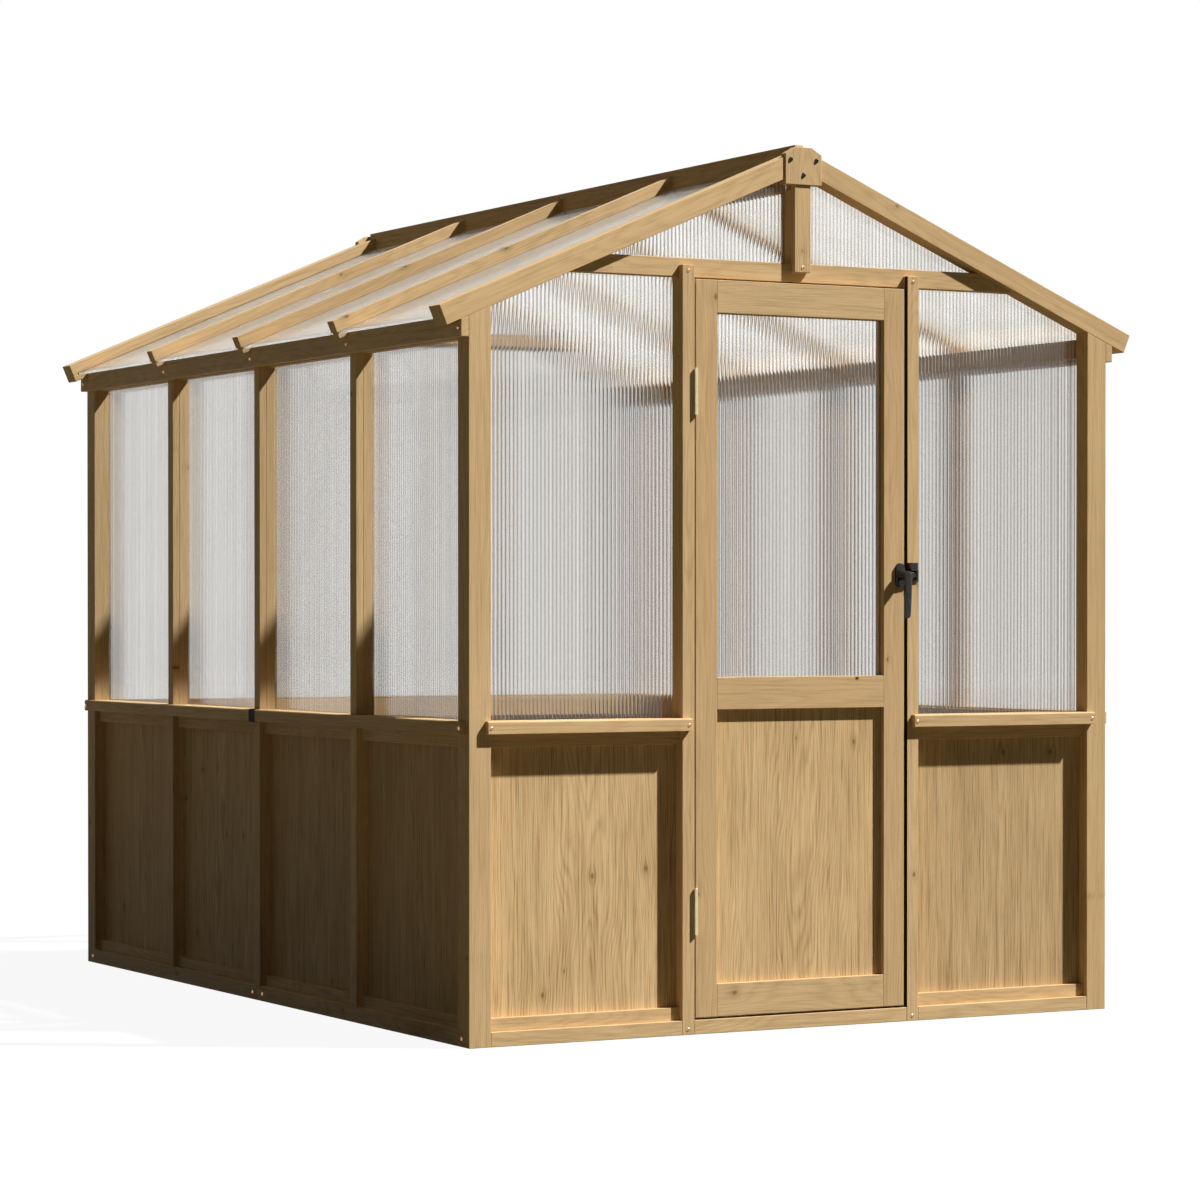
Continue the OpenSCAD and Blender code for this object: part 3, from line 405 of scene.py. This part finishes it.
timber(["apex_plates"],
       wood("apex plates", UP, ALONG_X, boards_at(0, PLATE_Y, RIDGE_Z), seed=101))

# Glazing: fluted clear polycarbonate sheets, upright in the walls, down the slope on the
# roof. They sit in rebates and grooves of the timbers and keep 6 mm between the ribs.
SHEET = 6 * MM
FLUTE, RISE = 10.4 * MM, 0.14 * MM
NICK, NICK_SHARE = 0.3 * MM, 0.055
# lines of the mesh across one flute, in shares of its pitch
RIB = np.array([0.0, NICK_SHARE, 0.11, 0.2, 0.35, 0.5, 0.65, 0.8, 0.89, 1 - NICK_SHARE])
# how far a sheet reaches into its grooves, and the timbers round the openings
TUCK, SIDE_TUCK = 7.7 * MM, 9.7 * MM
GLASS_Z = 760 * MM
TOP_RAIL_FOOT = 1665 * MM
BEAM_FOOT, BEAM_TOP = 1829 * MM, 1875 * MM
JAMB_OUT, JAMB_IN = 340 * MM, 306 * MM
KING_HALF = 25 * MM
PEAK_END = 568.8 * MM
SIDE_FACE = 871 * MM
GABLE_FACE = HALF_D - 50 * MM
RIDGE_HALF, RAFTER_HALF = 12.5 * MM, 18 * MM
EAVE_OUT = 43 * MM
SHEET_TOP = 20 * MM
MILK_WHITE = (0.86, 0.87, 0.87, 1)


def build(name, parts, smooth):
    """One mesh object from (points, quads, marks) parts, doubles merged and faces turned
    outwards. Edges sharper than the smooth angle stay sharp; marks is a value per point."""
    sizes = np.cumsum([0] + [len(part[0]) for part in parts])
    points = np.concatenate([part[0] for part in parts])
    quads = np.concatenate([part[1] + first for part, first in zip(parts, sizes)])
    mesh = bpy.data.meshes.new(name)
    mesh.from_pydata(points.tolist(), [], quads.tolist())
    if len(parts[0]) > 2:
        mark = mesh.attributes.new("mark", "FLOAT", "POINT")
        mark.data.foreach_set("value", np.concatenate([part[2] for part in parts]).astype(np.float32))
    work = bmesh.new()
    work.from_mesh(mesh)
    bmesh.ops.remove_doubles(work, verts=work.verts, dist=0.002 * MM)
    bmesh.ops.recalc_face_normals(work, faces=work.faces)
    work.to_mesh(mesh)
    work.free()
    mesh.shade_smooth()
    mesh.set_sharp_from_angle(angle=math.radians(smooth))
    piece = bpy.data.objects.new(name, mesh)
    bpy.context.scene.collection.objects.link(piece)
    return piece


def fluted(u0, u1, low, high, put):
    """One fluted sheet. Across the flutes each pitch is a shallow arch, rise times the square
    of the distance from its crown, with a narrow V nick between two flutes; both faces
    mirror each other. low(u) and high(u) are the ends of the flutes, and put(u, w, d)
    places distance across, distance along and depth as points. The mark is 0 in a nick
    and 1 on a crown."""
    flutes = max(2, round((u1 - u0) / FLUTE))
    share = np.append((np.arange(flutes)[:, None] + RIB).ravel(), flutes)
    part = share % 1.0
    to_nick = np.minimum(part, 1 - part)
    dip = RISE * (2 * part - 1) ** 2 + NICK * np.clip(1 - to_nick / NICK_SHARE, 0, 1)
    u = u0 + (u1 - u0) * share / flutes
    ends = np.stack([low(u), high(u)], 1)[:, :, None]
    depth = np.stack([dip, SHEET - dip], 1)[:, None, :]
    size = (len(u), 2, 2)
    spots = put(np.broadcast_to(u[:, None, None], size), np.broadcast_to(ends, size),
                np.broadcast_to(depth, size)).reshape(-1, 3)
    at = np.arange(len(u) * 4).reshape(size)
    loop = np.stack([at[:, 0, 0], at[:, 1, 0], at[:, 1, 1], at[:, 0, 1]], 1)
    after = np.roll(loop, -1, axis=1)
    walls = np.stack([loop[:-1], after[:-1], after[1:], loop[1:]], 2).reshape(-1, 4)
    crown = np.broadcast_to(2 * to_nick[:, None], (len(u), 4)).ravel()
    return spots, np.concatenate([walls, loop[:1], loop[-1:]]), crown


def sheet_finish(name, tint, web, haze, rough, stretch):
    """Clear sheet: refracting plastic with a little haze, darker along the webs between the
    flutes and streaked along them. Light for other surfaces goes straight through, so that
    the timbers inside are lit."""
    made = bpy.data.materials.new(name)
    made.use_nodes = True
    tree = made.node_tree
    place = step(tree, "ShaderNodeTexCoord").outputs["Object"]
    film = cloud(tree, place, (3, 3, 1.2), 3.0, 0.6)
    clear = tree.nodes["Principled BSDF"]
    crown = step(tree, "ShaderNodeAttribute", attribute_name="mark").outputs["Fac"]
    drawn = ramp(tree, cloud(tree, place, stretch, 2.0, 0.7), 0.34, 0.66)
    body = blend(tree, drawn, tint, (0.97, 0.975, 0.975, 1))
    tree.links.new(blend(tree, ramp(tree, crown, 0.06, 0.52), web, body), clear.inputs["Base Color"])
    tree.links.new(num(tree, "MULTIPLY_ADD", film, rough, rough * 0.5), clear.inputs["Roughness"])
    clear.inputs["IOR"].default_value = 1.49
    clear.inputs["Transmission Weight"].default_value = 1.0
    milk = step(tree, "ShaderNodeBsdfDiffuse", {"Color": MILK_WHITE}).outputs[0]
    glow = step(tree, "ShaderNodeBsdfTranslucent", {"Color": MILK_WHITE}).outputs[0]
    milk = step(tree, "ShaderNodeMixShader", {0: 0.6, 1: milk, 2: glow}).outputs[0]
    amount = num(tree, "MULTIPLY_ADD", film, haze, haze * 0.5)
    seen = step(tree, "ShaderNodeMixShader", {0: amount, 1: clear.outputs[0], 2: milk}).outputs[0]
    path = step(tree, "ShaderNodeLightPath").outputs
    light = num(tree, "MAXIMUM", path["Is Shadow Ray"], path["Is Diffuse Ray"])
    through = step(tree, "ShaderNodeBsdfTransparent", {"Color": (0.95, 0.955, 0.955, 1)}).outputs[0]
    both = step(tree, "ShaderNodeMixShader", {0: light, 1: seen, 2: through}).outputs[0]
    tree.links.new(both, tree.nodes["Material Output"].inputs["Surface"])
    return made


def glaze(node, panes, finish, body="frame"):
    """Puts fluted sheets in the place of a glazing node."""
    piece = build(node + "_sheets", panes, smooth=24)
    piece.data.materials.append(finish)
    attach(piece, body)
    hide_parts(node)


def level(height):
    """The same height all along."""
    return lambda u: np.full_like(u, height)


def on_slope(u, above):
    """Height at distance u from the middle of the house, on a line that runs down the slope
    and lies the distance above over the rafters' underside, square to it."""
    return EAVE_H + (HALF_W - abs(u)) * math.tan(PITCH) + above / math.cos(PITCH)


def stand_x(face, inward):
    """Flutes upright in a side wall: u along Y, outer face at X = face."""
    return lambda u, w, d: np.stack([face + inward * d, u, w], -1)


def stand_y(face, inward):
    """Flutes upright in a gable: u along X, outer face at Y = face."""
    return lambda u, w, d: np.stack([u, face + inward * d, w], -1)


def gable_pane(face, inward, side):
    """Pane between post and jamb: its top follows the crossbeam, then the rafter."""
    ends = sorted((side * (JAMB_OUT - TUCK), side * (HALF_W - POST + TUCK)))
    return fluted(*ends, level(GLASS_Z), lambda u: np.minimum(BEAM_FOOT + TUCK, on_slope(u, TUCK)),
                  stand_y(face, inward))


def gable_peak(face, inward, side):
    """Triangular pane beside the king post, down to a thin end over the crossbeam."""
    foot = BEAM_TOP - TUCK
    ends = sorted((side * (KING_HALF - TUCK), side * PEAK_END))
    return fluted(*ends, level(foot), lambda u: np.maximum(foot + 0.05 * MM, on_slope(u, TUCK)),
                  stand_y(face, inward))


def on_roof(side):
    """Flutes down the slope: u along Y, w down from the ridge, depth down from the outer face
    that lies above the rafters' underside."""
    def put(u, w, d):
        """Points for distance along the house, distance down the slope and depth."""
        run = RIDGE_HALF + w * math.cos(PITCH)
        return np.stack([side * run, u, on_slope(run, SHEET_TOP - d)], -1)
    return put


wall_sheet = sheet_finish("clear fluted sheet", tint=(0.86, 0.855, 0.84, 1), web=(0.45, 0.42, 0.39, 1),
                          haze=0.012, rough=0.002, stretch=(55, 55, 0.3))
roof_sheet = sheet_finish("roof fluted sheet", tint=(0.9, 0.9, 0.89, 1), web=(0.56, 0.54, 0.5, 1),
                          haze=0.24, rough=0.06, stretch=(0.5, 26, 0.5))
bay_starts = -HALF_D + POST + np.arange(4) * STEP_Y
for side, node in ((-1, "glazing_left"), (1, "glazing_right")):
    glaze(node, [fluted(y - SIDE_TUCK, y + BAY + SIDE_TUCK, level(GLASS_Z), level(TOP_RAIL_FOOT + TUCK),
                        stand_x(side * SIDE_FACE, -side)) for y in bay_starts], wall_sheet)
front_face, rear_face = (-GABLE_FACE, 1), (GABLE_FACE, -1)
rear_middle = fluted(-JAMB_IN - TUCK, JAMB_IN + TUCK, level(GLASS_Z), level(BEAM_FOOT + TUCK),
                     stand_y(*rear_face))
glaze("glazing_front", [gable_pane(*front_face, s) for s in (-1, 1)], wall_sheet)
glaze("glazing_rear", [gable_pane(*rear_face, s) for s in (-1, 1)] + [rear_middle], wall_sheet)
glaze("gable_glazing", [gable_peak(*face, s) for face in (front_face, rear_face) for s in (-1, 1)],
      wall_sheet)
rafter_lines = np.arange(-1, 2) * STEP_Y
roof_starts = np.append(POST - HALF_D, rafter_lines + RAFTER_HALF)
roof_ends = np.append(rafter_lines - RAFTER_HALF, HALF_D - POST)
roof_run = (HALF_W + EAVE_OUT - RIDGE_HALF) / math.cos(PITCH)
for side, node in ((-1, "roof_glazing_left"), (1, "roof_glazing_right")):
    glaze(node, [fluted(start - TUCK, end + TUCK, level(0.0), level(roof_run), on_roof(side))
                 for start, end in zip(roof_starts, roof_ends)], roof_sheet)

# Door: a framed leaf with a flat lower panel and a fluted upper pane, hung on the left
# jamb. Stiles run through, the rails are tongued into them.
STILE_X, STILE_STEP, LEAF_Y = 273 * MM, 540 * MM, 1220 * MM
RAIL_FIRST_Z, RAIL_STEP = 80 * MM, 743.5 * MM
DARK_KNOT = (158 * MM, 857 * MM, 6 * MM)
DOOR_PANEL_Y, DOOR_PANEL_Z = 1217 * MM, 400 * MM
PANE_LEFT, PANE_RIGHT = -244 * MM, 238 * MM
PANE_FOOT, PANE_HEAD = 862 * MM, 1745 * MM
PANE_FACE = -1225 * MM
timber(["door_stiles"],
       wood("door stiles", UP, ALONG_X, boards_at(STILE_X, LEAF_Y, MID_Z, next_x=STILE_STEP, next_y=FAR),
            seed=103), "door")
timber(["door_rails"],
       wood("door rails", ALONG_X, UP, boards_at(0, LEAF_Y, RAIL_FIRST_Z, next_y=FAR, next_z=RAIL_STEP),
            seed=107, eye=DARK_KNOT), "door")
timber(["door_panel"],
       wood("door panel", UP, ALONG_X, boards_at(0, DOOR_PANEL_Y, DOOR_PANEL_Z, next_y=FAR), PANEL_KNOTS,
            seed=109, figure=1.0), "door", 0.5 * MM)
glaze("door_glazing", [fluted(PANE_LEFT - TUCK, PANE_RIGHT + TUCK, level(PANE_FOOT - TUCK),
                              level(PANE_HEAD + TUCK), stand_y(PANE_FACE, 1))], wall_sheet, "door")

# Hinges: pressed steel butt hinges with a pale yellow zinc coat, their leaves let in
# between door and jamb, so that only the knuckles show while the door is shut. Each leaf
# is held by three flat-head screws, which show when the door stands open.
HINGE_FEET = (241 * MM, 1496 * MM)
SCREWS_UP = (18 * MM, 56 * MM, 94 * MM)
LEAF_SCREW_Y = -1222 * MM
FRAME_LEAF_X, DOOR_LEAF_X = -304.8 * MM, -304.2 * MM
hinge_metal = plain("zinc coated hinge", (0.72, 0.66, 0.45, 1), (0.62, 0.56, 0.36, 1),
                    metallic=0.85, rough=0.28)
finish_node(["hinge_frame_leaves", "hinge_door_leaves", "hinge_pins"], hinge_metal)


def around(count=40):
    """Angles once round a ring."""
    return np.arange(count) * 2 * np.pi / count


def skin(rings):
    """Closed tube through rows of points, each row a closed ring; a first or last ring drawn
    to one point closes that end."""
    rows, count = rings.shape[:2]
    at = np.arange(rows * count).reshape(rows, count)
    beside = np.roll(at, -1, axis=1)
    return rings.reshape(-1, 3), np.stack([at[:-1], beside[:-1], beside[1:], at[1:]], 2).reshape(-1, 4)


def heads(spots, radius, rise, crown, slot_shape, depth, sink=0.0):
    """Screw heads on the faces of the timbers. Each is turned: its height over the face is
    rise times (1 - (distance / radius) to the power crown), less the depth of the driver
    recess where slot_shape(a, b) says so, with a, b in radii. The underside is a cone whose
    point lies sink below the face. spots are rows of x, y, z and the outward direction in
    plan."""
    ring = np.array([0, 0.1, 0.16, 0.22, 0.3, 0.38, 0.44, 0.5, 0.6, 0.72, 0.84, 0.93, 1.0])[:, None]
    turn = around(36)
    a, b = ring * np.cos(turn), ring * np.sin(turn)
    height = rise * (1 - ring ** crown) - depth * slot_shape(a, b)
    point = np.zeros((1, len(turn)))
    a, b = (np.append(grid, point, axis=0) * radius for grid in (a, b))
    height = np.append(height, point - sink, axis=0)
    return [skin(np.stack([x + height * nx - a * ny, y + height * ny + a * nx, z + b], -1))
            for x, y, z, nx, ny in spots]


def cross(a, b):
    """1 inside a cross recess whose arms are 0.13 radii wide each way and 0.52 long."""
    return ((np.minimum(abs(a), abs(b)) < 0.13) & (np.maximum(abs(a), abs(b)) < 0.52)).astype(float)


def fit(name, parts, finish, body="frame", stands_for=()):
    """Makes a piece from its parts, gives it finish, and lets it ride on a body."""
    piece = build(name, parts, smooth=32)
    piece.data.materials.append(finish)
    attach(piece, body)
    if stands_for:
        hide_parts(*stands_for)


screw_zs = [foot + up for foot in HINGE_FEET for up in SCREWS_UP]
for body, x, out in (("frame", FRAME_LEAF_X, 1), ("door", DOOR_LEAF_X, -1)):
    leaf_screws = heads([(x, LEAF_SCREW_Y, z, out, 0) for z in screw_zs], radius=3.4 * MM, rise=0.14 * MM,
                        crown=3, slot_shape=cross, depth=0.8 * MM, sink=2.2 * MM)
    fit("hinge_screws_" + body, leaf_screws, hinge_metal, body)

# Latch: a black powder-coated casting. The rose on the door's stile guides a spindle whose
# boss carries the spur and a bowed lever that hangs straight down; turning it up frees the
# spur from the keep on the jamb.
LATCH_X, LATCH_Z = 283 * MM, 1112 * MM
DOOR_FACE = -HALF_D
black = plain("black coated metal", (0.012, 0.012, 0.013, 1), (0.02, 0.021, 0.02, 1), metallic=0.0,
              rough=0.12, grain=1400, bump=0.16, coat=0.2, specular=0.26)
finish_node(["latch_keep"], black)


def squarish(power):
    """Once round a superellipse: cosine and sine raised to 2 / power, with their signs."""
    turn = around()
    return [np.sign(wave) * abs(wave) ** (2 / power) for wave in (np.cos(turn), np.sin(turn))]


def rounded(left, radius):
    """Share of the full width at the distance left from an end: a quarter circle, then 1."""
    return np.sqrt(1 - (1 - np.clip(left / radius, 0, 1)) ** 2)


def turned(radii, outs):
    """Turned on the latch axis: a circle of each radius at each distance out of the door's face,
    both in millimetres."""
    turn = around()
    r, out = np.array(radii)[:, None] * MM, np.array(outs)[:, None] * MM
    return skin(np.stack([LATCH_X + r * np.cos(turn), DOOR_FACE - out + 0 * turn,
                          LATCH_Z + r * np.sin(turn)], -1))


def rose_body():
    """Pill-shaped plate: half circles of 13 mm radius joined by straights of 35 mm, drawn in
    towards its domed face."""
    turn = around(64)
    full, straight = 13 * MM, 17.5 * MM
    inset = np.array([13, 0, 0, 0.175, 0.6, 1.2, 2.3, 4, 13])[:, None] * MM
    out = np.array([0, 0, 5.2, 6.4, 7.2, 7.6, 7.85, 8, 8])[:, None] * MM
    radius = full - inset
    up = straight * np.sign(np.sin(turn)) * (radius > 0)
    return skin(np.stack([LATCH_X + radius * np.cos(turn), DOOR_FACE - out + 0 * turn,
                          LATCH_Z + radius * np.sin(turn) + up], -1))


def lever():
    """Bowed lever: its rings are superellipses of power 2.6 whose width narrows from 10.8 to 9 mm
    and thickness from 5.6 to 3.8 mm a side, rounded off at both ends, along a line that
    leans 4 mm back to the door with the square of the way down."""
    way = np.concatenate([[0, 0.012, 0.03, 0.06], np.linspace(0.09, 0.95, 18), [0.972, 0.988, 0.997, 1.0]])
    way = way[:, None]
    length, over_axis, tip_radius = 117 * MM, 10 * MM, 8 * MM
    stand_off, bow = 40.3 * MM, 4 * MM
    c, s = squarish(2.6)
    wide, thick = (10.8 - 1.8 * way) * MM, (5.6 - 1.8 * way) * MM
    round_off = rounded(way * length, over_axis) * rounded((1 - way) * length, tip_radius)
    x = LATCH_X + wide * round_off * c
    y = DOOR_FACE - (stand_off - bow * way ** 2) + thick * (0.25 + 0.75 * round_off) * (round_off > 0) * s
    return skin(np.stack([x, y, LATCH_Z + over_axis - way * length + 0 * c], -1))


def spur():
    """Flat finger from the boss to beside the keep: its tip is rounded, its height narrows from
    10 to 6.6 mm a side, and its edges are superellipses of power 5."""
    way = np.concatenate([[0, 0], np.linspace(0.02, 0.8, 12), [0.86, 0.91, 0.95, 0.98, 0.995, 1.0]])[:, None]
    length, tip_radius = 38.8 * MM, 6.6 * MM
    stand_off, half_thick = 14.4 * MM, 2.95 * MM
    c, s = squarish(5)
    half_high = (10 - 3.4 * way) * MM
    tip = rounded((1 - way) * length, tip_radius)
    tip[0] = 0
    y = DOOR_FACE - stand_off + half_thick * s * (tip > 0)
    return skin(np.stack([LATCH_X + way * length + 0 * c, y, LATCH_Z + half_high * tip * c], -1))


rose_ring = turned([0, 11, 11, 10.6, 0], [7, 7, 10.4, 11, 11])
spindle = turned([0, 7.9, 7.9, 0], [0.5, 0.5, 11.3, 11.3])
boss = turned([0, 10.4, 11.8, 12.8, 13.3, 13.2, 12.6, 11.6, 10.8, 10.3, 10.1, 10, 9.4, 8, 5.6, 2.8, 0],
              [11.4, 11.4, 12.2, 14, 17, 20, 23, 27, 31, 34, 37, 40, 42.2, 44, 45.2, 45.8, 46])
fit("latch_rose_plate", [rose_body(), rose_ring], black, "door", ["latch_rose"])
fit("latch_lever", [spindle, boss, lever(), spur()], black, "handle", ["latch_handle"])

# Fasteners: copper coloured dome-head screws with a cross recess hold laps, sills and eave
# beams; black socket-head bolts hold the apex plates.
EAVE_OUT_OF_POST = 20 * MM
EAVE_SCREW_Z = 1685 * MM
KING_SCREW_Z = 1864.5 * MM
PLATE_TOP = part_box("apex_plates")[1].z
PLATE_THICK = 4 * MM
BOLT_HIGH, BOLT_LOW = PLATE_TOP - 31 * MM, PLATE_TOP - 68 * MM
BOLT_X = 37 * MM
# in mm: distance from the middle of the wall, out of the posts' face, and height
GABLE_SCREWS = [(323, 0, 1843), (323, 0, 13.5), (863, 15, 748.5), (329, 15, 748.5)]
SIDE_SCREWS = [(1222, 20, 1685), (1216, 15, 748.5), (1200, 0, 19.5), (32, 0, 19.5)]
copper = plain("copper screws", (0.66, 0.36, 0.2, 1), (0.46, 0.22, 0.11, 1), metallic=1.0, rough=0.26)


def six_sided(a, b):
    """1 inside a hexagon socket 0.43 radii from middle to flat."""
    flat = np.maximum(abs(a), abs(a) * 0.5 + abs(b) * 0.866)
    return (flat < 0.43).astype(float)


spots = [(sx * x * MM, sy * (HALF_D + out * MM), z * MM, 0, sy)
         for sx in (-1, 1) for sy in (-1, 1) for x, out, z in GABLE_SCREWS]
spots += [(sx * (HALF_W + out * MM), sy * y * MM, z * MM, sx, 0)
          for sx in (-1, 1) for sy in (-1, 1) for y, out, z in SIDE_SCREWS]
spots += [(0, sy * HALF_D, KING_SCREW_Z, 0, sy) for sy in (-1, 1)]
spots += [(sx * (HALF_W + EAVE_OUT_OF_POST), k * STEP_Y, EAVE_SCREW_Z, sx, 0)
          for sx in (-1, 1) for k in (-1, 0, 1)]
dome_heads = heads(spots, radius=4.8 * MM, rise=2.4 * MM, crown=2.2, slot_shape=cross, depth=1.1 * MM)
fit("dome_head_screws", dome_heads, copper, stands_for=["frame_screws"])
bolt_spots = [(x, sy * (HALF_D + PLATE_THICK), z, 0, sy) for sy in (-1, 1)
              for x, z in ((-BOLT_X, BOLT_HIGH), (BOLT_X, BOLT_HIGH), (0, BOLT_LOW))]
bolt_heads = heads(bolt_spots, radius=6 * MM, rise=4 * MM, crown=3.2, slot_shape=six_sided, depth=2.4 * MM)
fit("apex_socket_bolts", bolt_heads, black, stands_for=["apex_bolts"])

# Studio: a pale floor that keeps the object's shadow, one key light from the front right
# above and a weak even fill, and the camera at the photograph's angle.
FLOOR_REACH = 40
FILL_COLOUR, FILL_POWER = (1.0, 0.93, 0.64, 1), 0.034
KEY_COLOUR, KEY_POWER, KEY_WAY = (1.0, 0.985, 0.95), 6.8, (-1.6, 1.0, -2.15)
KEY_WIDTH = math.radians(1.6)
CAMERA_AT = (-4.793, -8.9585, 1.020)
CAMERA_LENS, CAMERA_SENSOR, CAMERA_SHIFT = 111.0, 36.0, 0.0447
CAMERA_TILT, CAMERA_TURN = 90 - 0.64, -28.705


def looked_at(tree):
    """1 for rays of the camera, also by way of a mirroring or a clear surface."""
    path = step(tree, "ShaderNodeLightPath").outputs
    return num(tree, "MAXIMUM", path["Is Camera Ray"],
               num(tree, "MAXIMUM", path["Is Glossy Ray"], path["Is Transmission Ray"]))


ground = bpy.data.meshes.new("floor")
ground.from_pydata([(FLOOR_REACH * x, FLOOR_REACH * y, 0) for x, y in ((-1, -1), (1, -1), (1, 1), (-1, 1))],
                   [], [(0, 1, 2, 3)])
floor = bpy.data.objects.new("floor", ground)
bpy.context.scene.collection.objects.link(floor)
pale = bpy.data.materials.new("pale floor")
pale.use_nodes = True
tree = pale.node_tree
bright = step(tree, "ShaderNodeEmission", {"Color": (1, 1, 1, 1), "Strength": 1.0}).outputs[0]
lit = step(tree, "ShaderNodeBsdfDiffuse", {"Color": (0.85, 0.85, 0.85, 1)}).outputs[0]
dim = step(tree, "ShaderNodeBsdfDiffuse", {"Color": (0.105, 0.09, 0.052, 1)}).outputs[0]
shown = step(tree, "ShaderNodeMixShader", {0: 0.07, 1: bright, 2: lit}).outputs[0]
whole = step(tree, "ShaderNodeMixShader", {0: looked_at(tree), 1: dim, 2: shown}).outputs[0]
tree.links.new(whole, tree.nodes["Material Output"].inputs["Surface"])
tree.nodes.remove(tree.nodes["Principled BSDF"])
ground.materials.append(pale)

world = bpy.data.worlds.new("studio")
bpy.context.scene.world = world
world.use_nodes = True
tree = world.node_tree
fill = tree.nodes["Background"]
fill.inputs["Color"].default_value = FILL_COLOUR
fill.inputs["Strength"].default_value = FILL_POWER
white = step(tree, "ShaderNodeBackground", {"Color": (1, 1, 1, 1), "Strength": 1.0}).outputs[0]
sky = step(tree, "ShaderNodeMixShader", {0: looked_at(tree), 1: fill.outputs[0], 2: white}).outputs[0]
tree.links.new(sky, tree.nodes["World Output"].inputs["Surface"])

key = bpy.data.lights.new("key light", "SUN")
key.energy = KEY_POWER
key.angle = KEY_WIDTH
key.color = KEY_COLOUR
lamp = bpy.data.objects.new("key light", key)
lamp.rotation_euler = Vector(KEY_WAY).to_track_quat("-Z", "Y").to_euler()
bpy.context.scene.collection.objects.link(lamp)

lens = bpy.data.cameras.new("camera")
lens.lens = CAMERA_LENS
lens.sensor_width = CAMERA_SENSOR
lens.shift_y = CAMERA_SHIFT
lens.clip_end = 200
camera = bpy.data.objects.new("camera", lens)
camera.location = CAMERA_AT
camera.rotation_euler = (math.radians(CAMERA_TILT), 0, math.radians(CAMERA_TURN))
bpy.context.scene.collection.objects.link(camera)
bpy.context.scene.camera = camera
bpy.context.scene.view_settings.view_transform = "Standard"
